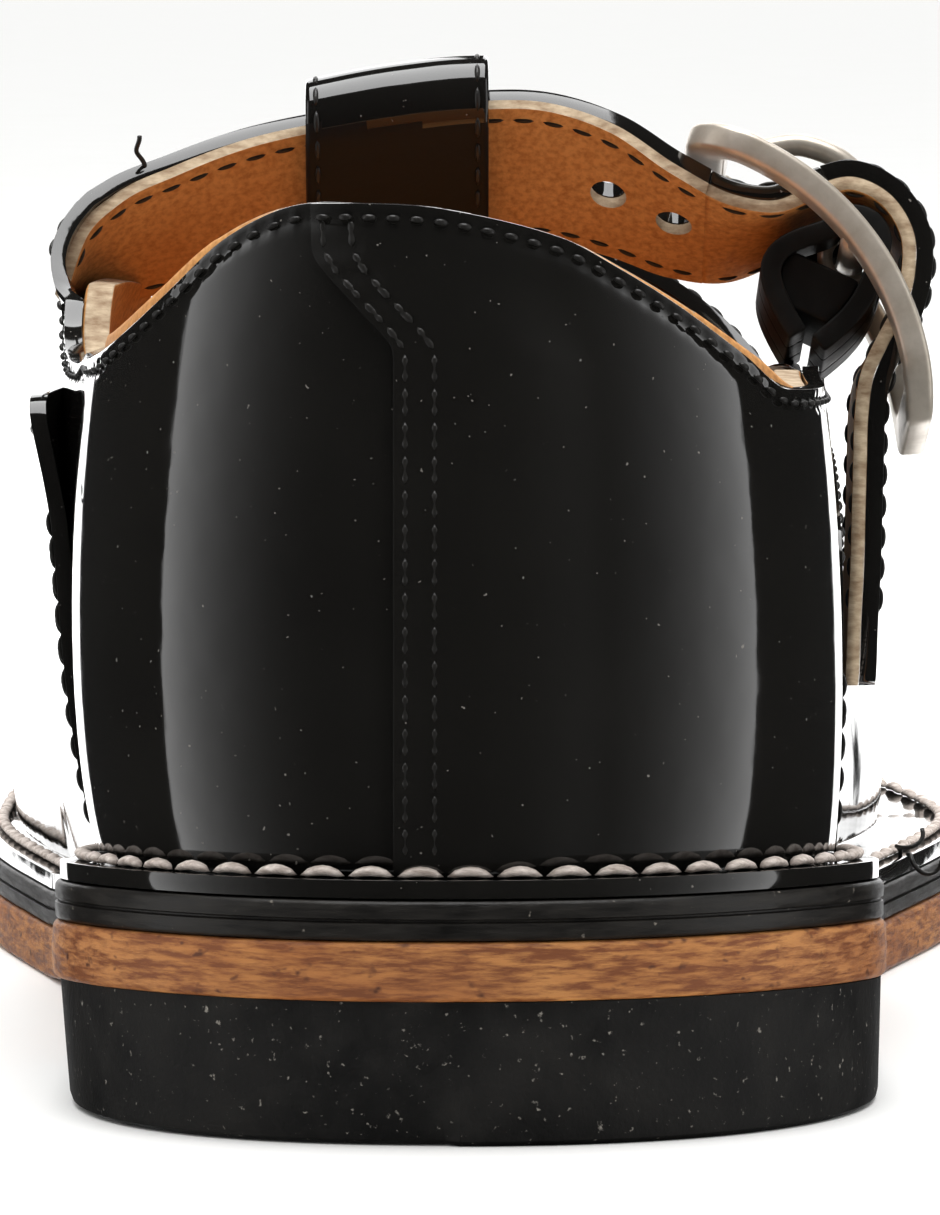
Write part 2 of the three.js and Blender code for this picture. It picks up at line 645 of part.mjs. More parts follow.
function buckleChape() {
  const hole = BUCKLE.barRadius + PIVOT_GAP;
  const outer = hole + CHAPE.wall;
  const down = buckleMatrix.clone().invert();
  const foot = new THREE.Vector3(24.6, BUCKLE_AT.y, SIDE_HEIGHT - 1.0).applyMatrix4(down);
  const shape = new THREE.Shape();
  const toFoot = Math.atan2(foot.z, foot.x);
  shape.absarc(0, 0, outer, toFoot + Math.PI / 2, toFoot - Math.PI / 2 + Math.PI * 2, false);
  const across = new THREE.Vector2(-Math.sin(toFoot), Math.cos(toFoot)).multiplyScalar(CHAPE.foot / 2);
  shape.lineTo(foot.x - across.x, foot.z - across.y);
  shape.lineTo(foot.x + across.x, foot.z + across.y);
  const bore = new THREE.Path();
  bore.absarc(0, 0, hole, 0, Math.PI * 2, true);
  shape.holes.push(bore);
  const geometry = new THREE.ExtrudeGeometry(shape, {
    depth: CHAPE.width, bevelEnabled: false, curveSegments: 9,
  });
  geometry.rotateX(Math.PI / 2);
  geometry.translate(0, CHAPE.width / 2, 0);
  const slotHalf = CHAPE.slot / 2;
  const slot = box(-3.4, 6, -slotHalf, slotHalf, -3.2, 6);
  return solid(geometry).subtract(slot);
}

// ---------------------------------------------------------------- bottom pieces

// What lies behind the hollowed breast of the heel.
function heelRegion() {
  const middle = HEEL_LENGTH - BREAST_HOLLOW;
  const shape = new THREE.Shape();
  shape.moveTo(-60, -60);
  shape.lineTo(60, -60);
  shape.lineTo(60, HEEL_LENGTH + 2);
  shape.quadraticCurveTo(0, 2 * middle - HEEL_LENGTH, -60, HEEL_LENGTH + 2);
  const geometry = new THREE.ExtrudeGeometry(shape, { depth: 60, bevelEnabled: false, curveSegments: 16 });
  geometry.translate(0, 0, -20);
  return solid(geometry);
}

const NAIL_PLACES = [[-1, 10], [-15, 20], [14, 20], [-13, 35], [12, 35]];

function nailTop() {
  return NAIL.recess + NAIL.length;
}

function heelBlock() {
  let block = layer(0.4, HEEL_TAPER, (y) => outsoleBottom(y) - LAYER_GAP, () => 0)
    .intersect(heelRegion());
  const headTop = NAIL.recess + NAIL.headWall + NAIL.gap;
  for (const [x, y] of NAIL_PLACES) {
    block = block.subtract(uprightCylinder(NAIL.headRadius + NAIL.gap, x, y, -1, headTop));
    block = block.subtract(uprightCylinder(NAIL.radius + NAIL.gap, x, y, -1, FAR));
  }
  return block;
}

function outsole() {
  let piece = layer(0, 0, outsoleTop, outsoleBottom);
  for (const [x, y] of NAIL_PLACES) {
    piece = piece.subtract(uprightCylinder(NAIL.radius + NAIL.gap, x, y, -1, nailTop() + NAIL.gap));
  }
  return piece;
}

function midsole() {
  return layer(0.3, 0.3, feather, midsoleBottom);
}

const insideUpper = (side, y) => weltMargin(side, y) + UPPER_WALL + SEAM_GAP;

function insoleBoard() {
  const bottom = (y) => feather(y) + LAYER_GAP;
  return layer(insideUpper, insideUpper, (y) => bottom(y) + INSOLE_WALL, bottom);
}

function sockLining() {
  const bottom = (y) => feather(y) + 2 * LAYER_GAP + INSOLE_WALL;
  return layer(insideUpper, insideUpper, (y) => bottom(y) + SOCK_WALL, bottom);
}

function heelNail(x, y) {
  const shank = uprightCylinder(NAIL.radius, x, y, NAIL.recess, nailTop());
  const head = uprightCylinder(NAIL.headRadius, x, y, NAIL.recess, NAIL.recess + NAIL.headWall);
  return shank.add(head);
}

// One closed ring of thread lying on the flange all round the shoe.
function weltThread() {
  const points = [];
  const count = 36;
  for (const side of [1, -1]) {
    for (let k = 0; k < count; k += 1) {
      const u = side > 0 ? k / count : 1 - k / count;
      const p = rimPoint(side, u, THREAD_INSET);
      points.push([p, feather(p.y) + LAYER_GAP + LEATHER_WALL + THREAD_RADIUS * 1.2 + 0.15]);
    }
  }
  const rings = 5;
  const at = (i, j) => (i % points.length) * rings + (j % rings);
  const positions = [];
  points.forEach(([p, z], i) => {
    const u = i < count ? i / count : 1 - (i - count) / count;
    const out = rimNormal(i < count ? 1 : -1, u);
    for (let j = 0; j < rings; j += 1) {
      const angle = j / rings * Math.PI * 2;
      const spread = THREAD_RADIUS * 1.6 * Math.cos(angle);
      positions.push(p.x + out.x * spread, p.y + out.y * spread, z + THREAD_RADIUS * Math.sin(angle));
    }
  });
  const triangles = [];
  for (let i = 0; i < points.length; i += 1) {
    for (let j = 0; j < rings; j += 1) {
      triangles.push(at(i, j), at(i + 1, j), at(i + 1, j + 1), at(i, j), at(i + 1, j + 1), at(i, j + 1));
    }
  }
  const geometry = new THREE.BufferGeometry();
  geometry.setAttribute('position', new THREE.Float32BufferAttribute(positions, 3));
  geometry.setIndex(triangles);
  return solid(geometry);
}

// ---------------------------------------------------------------- finishes and assembly

const finish = {
  patent: () => new THREE.MeshStandardMaterial({ color: 0x141412, roughness: 0.08, metalness: 0 }),
  lining: () => new THREE.MeshStandardMaterial({ color: 0xb8763a, roughness: 0.75, metalness: 0 }),
  board: () => new THREE.MeshStandardMaterial({ color: 0x9a7b58, roughness: 0.9, metalness: 0 }),
  stiffener: () => new THREE.MeshStandardMaterial({ color: 0xd8d0c0, roughness: 0.9, metalness: 0 }),
  soleLeather: () => new THREE.MeshStandardMaterial({ color: 0xb06a34, roughness: 0.65, metalness: 0 }),
  midsole: () => new THREE.MeshStandardMaterial({ color: 0x1a1917, roughness: 0.6, metalness: 0 }),
  rubber: () => new THREE.MeshStandardMaterial({ color: 0x22211f, roughness: 0.85, metalness: 0 }),
  nickel: () => new THREE.MeshStandardMaterial({ color: 0xbfb5a5, roughness: 0.3, metalness: 1 }),
  steel: () => new THREE.MeshStandardMaterial({ color: 0x8d8f92, roughness: 0.4, metalness: 1 }),
  thread: () => new THREE.MeshStandardMaterial({ color: 0xc4b5ac, roughness: 0.8, metalness: 0 }),
};

const shoe = new THREE.Group();

function addPiece(name, geometry, material) {
  const mesh = new THREE.Mesh(geometry, material);
  mesh.name = name;
  shoe.add(mesh);
}

const addSolid = (name, manifold, material) => addPiece(name, geometryOf(manifold), material);

addSolid('heel_block', heelBlock(), finish.rubber());
NAIL_PLACES.forEach(([x, y], i) => addSolid(`heel_nail_${i + 1}`, heelNail(x, y), finish.steel()));
addSolid('outsole', outsole(), finish.soleLeather());
addSolid('midsole', midsole(), finish.midsole());
addSolid('insole_board', insoleBoard(), finish.board());
addSolid('sock_lining', sockLining(), finish.lining());
addSolid('vamp', vamp(), finish.patent());
addSolid('quarter_medial', quarter(-1), finish.patent());
addSolid('quarter_lateral', quarter(1), finish.patent());
addSolid('vamp_lining', vampLining(), finish.lining());
addSolid('quarter_lining_medial', quarterLining(-1), finish.lining());
addSolid('quarter_lining_lateral', quarterLining(1), finish.lining());
addSolid('heel_counter', heelCounter(), finish.stiffener());
addSolid('toe_puff', toePuff(), finish.stiffener());
addSolid('welt_thread', weltThread(), finish.thread());
addSolid('instep_strap', instepStrap(), finish.patent());
addSolid('strap_lining', strapLining(), finish.lining());
addSolid('t_bar', tBar(), finish.patent());
addSolid('strap_tail', tail(0, STRAP.leather), finish.patent());
addSolid('strap_tail_lining', tail(-LAYER_GAP - STRAP.lining, -LAYER_GAP), finish.lining());
addPiece('buckle_chape', placed(buckleChape()), finish.patent());
addPiece('buckle_frame', placed(buckleFramePlate()), finish.nickel());
addPiece('buckle_prong', placed(bucklePin()), finish.nickel());

shoe.updateMatrixWorld(true);
const bounds = new THREE.Box3().setFromObject(shoe, true);
shoe.position.set(-(bounds.min.x + bounds.max.x) / 2, -(bounds.min.y + bounds.max.y) / 2, -bounds.min.z);

export default shoe;
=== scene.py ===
"""Looks for a child's T-bar shoe in black patent leather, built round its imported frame.

All shapes are worked out in the shoemaker's frame, in millimetres: y = 0 at the back of the
heel, +Y to the toe, +X to the lateral side, z = 0 on the ground. One function turns them
into the frame's own metres.
"""
import json
import math

import bmesh
import bpy
import numpy as np
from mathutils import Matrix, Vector


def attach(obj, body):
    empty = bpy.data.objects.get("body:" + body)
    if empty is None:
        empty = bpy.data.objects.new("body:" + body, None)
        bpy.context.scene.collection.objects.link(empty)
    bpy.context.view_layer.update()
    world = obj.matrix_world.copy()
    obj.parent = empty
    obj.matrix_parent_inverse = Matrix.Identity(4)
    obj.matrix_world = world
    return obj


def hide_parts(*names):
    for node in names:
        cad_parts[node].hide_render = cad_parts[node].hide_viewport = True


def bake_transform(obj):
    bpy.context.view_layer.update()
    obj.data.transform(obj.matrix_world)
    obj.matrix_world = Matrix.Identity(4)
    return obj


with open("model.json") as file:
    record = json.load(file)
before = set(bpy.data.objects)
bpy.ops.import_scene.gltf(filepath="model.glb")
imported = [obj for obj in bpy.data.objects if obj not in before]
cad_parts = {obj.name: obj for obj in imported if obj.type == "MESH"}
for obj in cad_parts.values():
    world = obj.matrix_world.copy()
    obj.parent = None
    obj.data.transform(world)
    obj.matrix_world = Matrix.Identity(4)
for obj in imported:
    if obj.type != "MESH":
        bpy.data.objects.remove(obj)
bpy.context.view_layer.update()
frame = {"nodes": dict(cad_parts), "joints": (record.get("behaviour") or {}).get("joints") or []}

bl_info = {
    "name": "T-bar shoe",
    "version": (1, 0, 0),
    "blender": (4, 5, 0),
    "location": "3D View > Sidebar > Shoe",
    "description": "Builds a patent T-bar shoe round its packed frame",
    "category": "Object",
}

# ------------------------------------------------------------------ sizes, in millimetres

SOLE_LENGTH = 188.0
HEEL_AT = 28.0
BALL_AT = 143.0
SIDES = {
    -1: {"heel": 27.4, "waist": 27.0, "waist_at": 68.0, "ball": 38.3},
    1: {"heel": 28.5, "waist": 28.3, "waist_at": 78.0, "ball": 39.8},
}
ROUNDNESS = 2.2
TOE_SHIFT = -4.0
HEEL_SHIFT = -1.0
HEEL_HEIGHT = 9.4
HEEL_LENGTH = 46.0
OUTSOLE_WALL = 3.9
MIDSOLE_WALL = 2.45
LAYER_GAP = 0.15
WELT_MARGIN = 3.8
WELT_MARGIN_WIDER = 3.6
LINING_WALL = 0.9
LEATHER_WALL = 1.2
LEATHER_IN = LINING_WALL + 0.7 + 2 * LAYER_GAP
UPPER_WALL = LEATHER_IN + LEATHER_WALL
SIDE_HEIGHT = 48.4
BACK_HEIGHT = 60.6
TOPLINE_DIP = 47.0
BAR_AT = np.array([27.96, 75.0, 54.7])
BUCKLE = {"radius": 21.6, "wall": 1.6, "half_angle": 39.8, "width": 20.0, "rail": 3.0,
          "end_bar": 3.3, "bar": 1.0, "tilt": 14.0, "middle": 39.0}
STRAP_WIDTH = 12.3
T_BAR_WIDTH = 13.0
T_BAR_CENTRE = -4.6
EDGE_ROUND = 0.22
STRAP_HOLES = ((10.5, 59.9), (15.2, 57.8))
HOLE_RADIUS = 1.3
NAIL_PLACES = ((-1, 10), (-15, 20), (14, 20), (-13, 35), (12, 35))
NAIL_WELL_RADIUS = 2.1
NAIL_WELL_TOP = 2.9

# The frame holds the buckle's pin where BAR_AT stands here, which ties the two frames together.
SHIFT = np.array(next(j for j in frame["joints"] if j["name"] == "buckle_rock")["pos_m"]) * 1000 - BAR_AT


def panel_mm(name):
    """A size that the panel holds, in millimetres."""
    return round(getattr(bpy.context.scene.shoe_sizes, name) * 1000, 4)


def to_frame(points):
    """Shoemaker's millimetres to the frame's metres: add the shift, divide by a thousand."""
    return (np.asarray(points, float) + SHIFT) / 1000.0


# ------------------------------------------------------------------ curves

def ease(t):
    """Smooth step: 3t^2 - 2t^3, held at 0 and 1 outside."""
    t = np.clip(t, 0.0, 1.0)
    return t * t * (3 - 2 * t)


def through(pairs, at):
    """Smooth curve through [place, value] pairs: cubic pieces whose slope at a pair is the
    slope between its neighbours, and flat beyond both ends."""
    at = np.asarray(at, float)
    x = np.array([p[0] for p in pairs], float)
    v = np.array([p[1] for p in pairs], float)
    slope = np.zeros(len(x))
    slope[1:-1] = (v[2:] - v[:-2]) / (x[2:] - x[:-2])
    held = np.clip(at, x[0], x[-1])
    i = np.clip(np.searchsorted(x, held, side="right") - 1, 0, len(x) - 2)
    step = x[i + 1] - x[i]
    t = (held - x[i]) / step
    rise = v[i + 1] - v[i]
    s0, s1 = slope[i] * step, slope[i + 1] * step
    return v[i] + t * s0 + t * t * (3 * rise - 2 * s0 - s1) + t ** 3 * (s0 + s1 - 2 * rise)


def along(points, count):
    """Points evenly spaced by length on a smooth curve through the given ones: a cubic
    spline on their chord lengths, resampled."""
    p = np.asarray(points, float)
    d = np.concatenate([[0], np.cumsum(np.linalg.norm(np.diff(p[:, :3], axis=0), axis=1))])
    fine = np.linspace(0, d[-1], 40 * len(p))
    slope = np.gradient(p, d, axis=0)
    i = np.clip(np.searchsorted(d, fine, side="right") - 1, 0, len(d) - 2)
    step = (d[i + 1] - d[i])[:, None]
    t = ((fine - d[i]) / step[:, 0])[:, None]
    rise = p[i + 1] - p[i]
    s0, s1 = slope[i] * step, slope[i + 1] * step
    q = p[i] + t * s0 + t * t * (3 * rise - 2 * s0 - s1) + t ** 3 * (s0 + s1 - 2 * rise)
    e = np.concatenate([[0], np.cumsum(np.linalg.norm(np.diff(q[:, :3], axis=0), axis=1))])
    even = np.linspace(0, e[-1], count)
    return np.stack([np.interp(even, e, q[:, k]) for k in range(q.shape[1])], axis=1)


def unit(v):
    return v / np.maximum(np.linalg.norm(v, axis=-1, keepdims=True), 1e-9)


def grid_normals(grid):
    """Normals of a grid of points: cross product of its two directions of change."""
    du = np.gradient(grid, axis=0)
    dv = np.gradient(grid, axis=1)
    return unit(np.cross(du, dv))


# ------------------------------------------------------------------ sole outline

def half_width(side, y):
    w = SIDES[side]
    heel_t = np.clip((HEEL_AT - y) / HEEL_AT, 0, 1)
    toe_t = np.clip((y - BALL_AT) / (SOLE_LENGTH - BALL_AT), 0, 1)
    heel = w["heel"] * np.maximum(1 - heel_t ** ROUNDNESS, 0) ** (1 / ROUNDNESS)
    toe = w["ball"] * np.maximum(1 - toe_t ** ROUNDNESS, 0) ** (1 / ROUNDNESS)
    back = w["heel"] + (w["waist"] - w["heel"]) * ease((y - HEEL_AT) / (w["waist_at"] - HEEL_AT))
    front = w["waist"] + (w["ball"] - w["waist"]) * ease((y - w["waist_at"]) / (BALL_AT - w["waist_at"]))
    middle = np.where(y < w["waist_at"], back, front)
    return np.where(y < HEEL_AT, heel, np.where(y > BALL_AT, toe, middle))


def rim(side, u):
    y = SOLE_LENGTH * (1 - np.cos(np.pi * u)) / 2
    centre = HEEL_SHIFT * (1 - ease(y / HEEL_AT)) + TOE_SHIFT * ease((y - BALL_AT) / (SOLE_LENGTH - BALL_AT))
    return np.stack([centre + side * half_width(side, y), y], axis=-1)


def rim_normal(side, u):
    step = 1e-3
    inner = np.clip(u, step, 1 - step)
    t = unit(rim(side, inner + step) - rim(side, inner - step))
    n = np.stack([side * t[..., 1], -side * t[..., 0]], axis=-1)
    near = np.clip(np.minimum(u, 1 - u) / (2 * step), 0, 1)[..., None]
    pole = np.stack([np.zeros_like(u), np.where(u < 0.5, -1.0, 1.0)], axis=-1)
    return unit(n * near + pole * (1 - near))


def outsole_bottom(y):
    pairs = [[0, HEEL_HEIGHT], [HEEL_LENGTH, HEEL_HEIGHT * 0.7], [78, 2.4], [100, 0], [146, 0],
             [168, 1.7], [SOLE_LENGTH, 5]]
    return np.maximum(through(pairs, y), 0)


def feather(y):
    """Top of the midsole, where the upper stands."""
    return outsole_bottom(y) + OUTSOLE_WALL + LAYER_GAP + MIDSOLE_WALL


def welt_margin(side, y):
    """How far the foot of the upper stands in from the rim: more on the lateral side of the joint."""
    wide = WELT_MARGIN_WIDER if side > 0 else 0.0
    return WELT_MARGIN + wide * ease((y - 78) / 44) * (1 - ease((y - 148) / 40))


def station_of(y):
    return np.arccos(1 - 2 * np.asarray(y, float) / SOLE_LENGTH) / np.pi


def even_stations(count, start=0.0, end=1.0):
    """Places along the rim, evenly spaced by the rim's own length."""
    u = np.linspace(start, end, 2000)
    p = rim(1, u)
    d = np.concatenate([[0], np.cumsum(np.linalg.norm(np.diff(p, axis=0), axis=1))])
    return np.interp(np.linspace(0, d[-1], count), d, u)


# ------------------------------------------------------------------ last

RIDGE_PLACE = [[0, 35], [40, 54], [72, 75], [120, 120], [188, 168]]
RIDGE_HEIGHT = [[35, 92], [54, 85], [66, 75], [75, 66], [84, 59], [100, 50.5], [118, 44],
                [140, 37.8], [155, 34.4], [168, 33.2]]
RIDGE_X = [[35, -1], [75, -4.6], [101, -4.6], [168, -4]]
BOXINESS = [[0, 2.2], [40, 2.8], [72, 5], [92, 3.2], [120, 2.5], [188, 2.3]]
BULGE = {
    -1: [[0, 2.6], [40, 3.4], [76, 6.5], [110, 2.2], [140, 1.5], [188, 1]],
    1: [[0, 2.6], [22, 1.2], [76, 0.8], [110, 1], [140, 1.2], [188, 1]],
}
BULGE_PEAK = [[0, 0.58], [40, 0.7], [76, 1.16], [110, 0.7], [188, 0.6]]


def last(w, s, offset):
    """Surface of the last. w runs from -1 at the toe round the medial side to 0 at the back
    seam and on to 1 at the toe round the lateral side; s runs from 0 at the foot of the wall
    to 1 on the ridge. A column is a superellipse from the rim, set in by the welt, to the
    ridge, pushed out by a sine bulge along the rim's normal."""
    w, s, offset = np.broadcast_arrays(np.asarray(w, float), np.asarray(s, float), np.asarray(offset, float))
    result = np.zeros(w.shape + (3,))
    for side in (-1, 1):
        here = (w < 0) if side < 0 else (w >= 0)
        if not here.any():
            continue
        u, level, off = np.abs(w[here]), np.clip(s[here], 0, 1), offset[here]
        y = SOLE_LENGTH * (1 - np.cos(np.pi * u)) / 2
        normal = rim_normal(side, u)
        base = rim(side, u) - normal * (welt_margin(side, y) + UPPER_WALL - off)[:, None]
        ridge_y = through(RIDGE_PLACE, y)
        ridge = np.stack([through(RIDGE_X, ridge_y), ridge_y], axis=-1)
        box = through(BOXINESS, y)
        angle = level ** (box / 2) * np.pi / 2
        rise = np.sin(angle) ** (2 / box)
        inward = 1 - np.maximum(np.cos(angle), 0) ** (2 / box)
        size = 2.6 + (through(BULGE[side], y) - 2.6) * ease(y / HEEL_AT)
        out = size * np.sin(np.pi * rise ** through(BULGE_PEAK, y))
        flat = base + (ridge - base) * inward[:, None] + normal * out[:, None]
        foot = feather(base[:, 1]) + LAYER_GAP
        z = foot + (through(RIDGE_HEIGHT, ridge_y) + off - foot) * rise
        result[here] = np.concatenate([flat, z[:, None]], axis=1)
    return result


def last_normal(w, s, offset):
    """Outward normal of the last: cross product of small steps along w and s."""
    step = 1e-3
    dw = last(w + step, s, offset) - last(w - step, s, offset)
    ds = last(w, np.clip(s + step, 0, 0.999), offset) - last(w, np.clip(s - step, 0, 0.999), offset)
    return unit(np.cross(dw, ds))


def back_top(x):
    pairs = [[-40, -0.05], [-25, 0.1], [-22.4, 0.26], [-19.3, 0.5], [-15.4, 0.8], [-11, 0.98], [-6, 1],
             [-1, 0.97], [6.4, 0.82], [10.3, 0.65], [14.3, 0.44], [18.6, 0.17], [21.5, -0.02], [40, -0.05]]
    return SIDE_HEIGHT + (BACK_HEIGHT - SIDE_HEIGHT) * through(pairs, x)


def side_top(side, y):
    h = SIDE_HEIGHT
    medial = [[TOPLINE_DIP, h], [53, h + 0.2], [58, h + 1.8], [62, h + 4.6], [66, h + 5], [79, h + 4.2],
              [83, h + 1], [88, h - 3.4], [93, h - 6.4], [104, h - 7]]
    lateral = [[TOPLINE_DIP, h - 0.2], [55, h - 1], [66, h - 1.3], [82, h - 1.8], [88, h - 4.4],
               [93, h - 6.4], [104, h - 7]]
    return through(medial if side < 0 else lateral, y)


def quarter_top(p, side):
    """Height of the topline over a point: from its x at the back, from its y at the sides."""
    mix = ease((p[..., 1] - (TOPLINE_DIP - 10)) / 10)
    return back_top(p[..., 0]) * (1 - mix) + side_top(side, p[..., 1]) * mix


def wing_top(y, side):
    """Upper edge of the vamp's wings: higher on the medial side."""
    front = [[86, 43.2], [90, 46], [94, 52], [98, 62], [101, 75]]
    lateral = through([[45.5, 26], [46.5, 33], [49.5, 37], [62, 41], [78, 43]] + front, y)
    medial = through([[45.5, 38], [46.3, 43.5], [49.5, 46], [62, 46], [78, 44.6]] + front, y)
    return np.where(side < 0, medial, lateral)


def crossing(w, inside, offset, count=260):
    """For each place w, the first s at which a column leaves the piece, found on a fine row
    of samples and set between the two that it falls between."""
    s = np.linspace(0, 1, count)
    p = last(w[:, None], s[None, :], offset)
    value = inside(p, np.sign(w)[:, None])
    out = value > 0
    first = np.argmax(out, axis=1)
    hit = out.any(axis=1) & (first > 0)
    rows = np.arange(len(w))
    a, b = value[rows, np.maximum(first - 1, 0)], value[rows, first]
    part = np.clip(-a / np.where(b - a == 0, 1, b - a), 0, 1)
    found = s[np.maximum(first - 1, 0)] + part * (s[1] - s[0])
    return np.where(hit, found, 1.0)


def above_topline(p, side):
    return p[..., 2] - np.where(side < 0, quarter_top(p, -1), quarter_top(p, 1))


def beyond_vamp(p, side):
    """Above nought where a point lies behind the throat or over the wings."""
    throat = 1 - np.sqrt(((p[..., 0] - T_BAR_CENTRE) / 16) ** 2 + (np.maximum(p[..., 1] - 84, 0) / 17) ** 2)
    over = np.where(p[..., 1] < 101, (p[..., 2] - wing_top(p[..., 1], side)) / 10, -1)
    return np.maximum(np.where(p[..., 2] > 30, throat, -1), over)


# ------------------------------------------------------------------ meshes

def set_attribute(mesh, name, values):
    layer = mesh.attributes.new(name, "FLOAT", "POINT")
    layer.data.foreach_set("value", np.asarray(values, np.float32).ravel())


def new_piece(name, points, faces, leather, body="shoe"):
    """A mesh from arrays of points in millimetres and of faces, riding on a body."""
    mesh = bpy.data.meshes.new(name)
    mesh.from_pydata(to_frame(points).tolist(), [], [list(f) for f in faces])
    mesh.materials.append(leather)
    mesh.polygons.foreach_set("use_smooth", [True] * len(mesh.polygons))
    mesh.update()
    piece = bpy.data.objects.new(name, mesh)
    bpy.context.scene.collection.objects.link(piece)
    if body:
        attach(piece, body)
    return piece


def grid_faces(rows, columns, wrap_rows=False, wrap_columns=False):
    """Quads over a grid, counted row by row; wrap joins the last row or column to the first."""
    i = np.arange(rows if wrap_rows else rows - 1)[:, None]
    j = np.arange(columns if wrap_columns else columns - 1)[None, :]
    i2, j2 = (i + 1) % rows, (j + 1) % columns
    quads = np.stack([i * columns + j, i2 * columns + j, i2 * columns + j2, i * columns + j2], axis=-1)
    return quads.reshape(-1, 4)


def clean(piece, distance=2e-6, recalculate=False):
    """Merges points that coincide and drops faces with no area."""
    bm = bmesh.new()
    bm.from_mesh(piece.data)
    bmesh.ops.remove_doubles(bm, verts=bm.verts, dist=distance)
    bmesh.ops.dissolve_degenerate(bm, edges=bm.edges, dist=distance / 4)
    if recalculate:
        bmesh.ops.recalc_face_normals(bm, faces=bm.faces)
    bm.to_mesh(piece.data)
    bm.free()
    piece.data.polygons.foreach_set("use_smooth", [True] * len(piece.data.polygons))
    return piece


def round_edges(piece, width=EDGE_ROUND):
    """Rounds the edges where faces meet at more than 55 degrees."""
    bevel = piece.modifiers.new("edge", "BEVEL")
    bevel.width = width / 1000
    bevel.segments = 2
    bevel.limit_method = "ANGLE"
    bevel.angle_limit = math.radians(55)
    return piece


def apply_modifiers(piece):
    depsgraph = bpy.context.evaluated_depsgraph_get()
    mesh = bpy.data.meshes.new_from_object(piece.evaluated_get(depsgraph))
    piece.modifiers.clear()
    old = piece.data
    piece.data = mesh
    mesh.name = old.name
    bpy.data.meshes.remove(old)
    return piece


def cut(piece, cutter):
    """Takes a closed mesh away from a piece and leaves the result in the piece."""
    boolean = piece.modifiers.new("cut", "BOOLEAN")
    boolean.operation = "DIFFERENCE"
    boolean.solver = "EXACT"
    boolean.object = cutter
    apply_modifiers(piece)
    bpy.data.objects.remove(cutter)
    return piece


def capsules(name, starts, ends, normals, radius, lift, material, body="shoe", rings=7, sides=8, flat=0.8):
    """Stitches: for each pair of ends a small closed tube that rises between them as half a
    sine, with its radius falling to nothing at both ends as a quarter power of a sine."""
    t = np.linspace(0, 1, rings)
    middle = starts[:, None, :] + (ends - starts)[:, None, :] * t[None, :, None]
    middle = middle + normals[:, None, :] * (lift * np.sin(np.pi * t))[None, :, None]
    size = radius * np.maximum(np.sin(np.pi * t), 0) ** 0.42
    forward = unit(ends - starts)
    side = unit(np.cross(forward, normals))
    angle = np.arange(sides) / sides * 2 * np.pi
    ring = (side[:, None, None, :] * np.cos(angle)[None, None, :, None]
            + normals[:, None, None, :] * np.sin(angle)[None, None, :, None] * flat)
    points = middle[:, :, None, :] + ring * size[None, :, None, None]
    count = len(starts)
    one = grid_faces(rings, sides, False, True)[:, ::-1]
    block = rings * sides
    faces = (one[None] + (np.arange(count) * block)[:, None, None]).reshape(-1, 4)
    piece = new_piece(name, points.reshape(-1, 3), faces, material, body)
    return clean(piece, distance=1e-7, recalculate=True)


def stitch_row(points, normals, pitch, share=0.82, shift=0.0):
    """Ends and normals of the stitches along a row: points spaced by the pitch on the row,
    each stitch filling a share of it."""
    d = np.concatenate([[0], np.cumsum(np.linalg.norm(np.diff(points, axis=0), axis=1))])
    count = max(int(d[-1] / pitch), 1)
    a = (np.arange(count) + 0.5 - share / 2 + shift) * d[-1] / count
    b = a + share * d[-1] / count

    def at(values, place):
        return np.stack([np.interp(place, d, values[:, k]) for k in range(3)], axis=1)
    return at(points, a), at(points, b), unit(at(normals, (a + b) / 2))


def dimples(grid, normals, centres, depth, radius):
    """Sinks a surface at the stitch holes: a bell curve of the distance to the nearest one."""
    flat = grid.reshape(-1, 3)
    sink = np.zeros(len(flat))
    for start in range(0, len(flat), 4000):
        part = flat[start:start + 4000]
        gap = np.min(np.linalg.norm(part[:, None, :] - centres[None], axis=2), axis=1)
        sink[start:start + 4000] = np.exp(-(gap / radius) ** 2)
    return grid - normals * (depth * sink).reshape(grid.shape[:2])[..., None]


def mark_corners(piece, degrees=48.0):
    """Marks the edges between faces that meet at more than an angle, so that shading stops there."""
    bm = bmesh.new()
    bm.from_mesh(piece.data)
    limit = math.radians(degrees)
    for edge in bm.edges:
        edge.smooth = not (len(edge.link_faces) == 2 and edge.calc_face_angle(0) > limit)
    bm.to_mesh(piece.data)
    bm.free()
    return piece


def resample(lines, count):
    """Each line of a stack of lines, spaced evenly by its own length."""
    result = np.empty((len(lines), count, 3))
    for k, line in enumerate(lines):
        d = np.concatenate([[0], np.cumsum(np.linalg.norm(np.diff(line, axis=0), axis=1))])
        even = np.linspace(0, d[-1], count)
        for axis in range(3):
            result[k, :, axis] = np.interp(even, d, line[:, axis])
    return result


def soften(lines, passes):
    """Rounds corners along each line: every point takes half its own place and a quarter of
    each neighbour's, a number of times."""
    for _ in range(passes):
        lines[:, 1:-1] = lines[:, 1:-1] / 2 + (lines[:, :-2] + lines[:, 2:]) / 4
    return lines


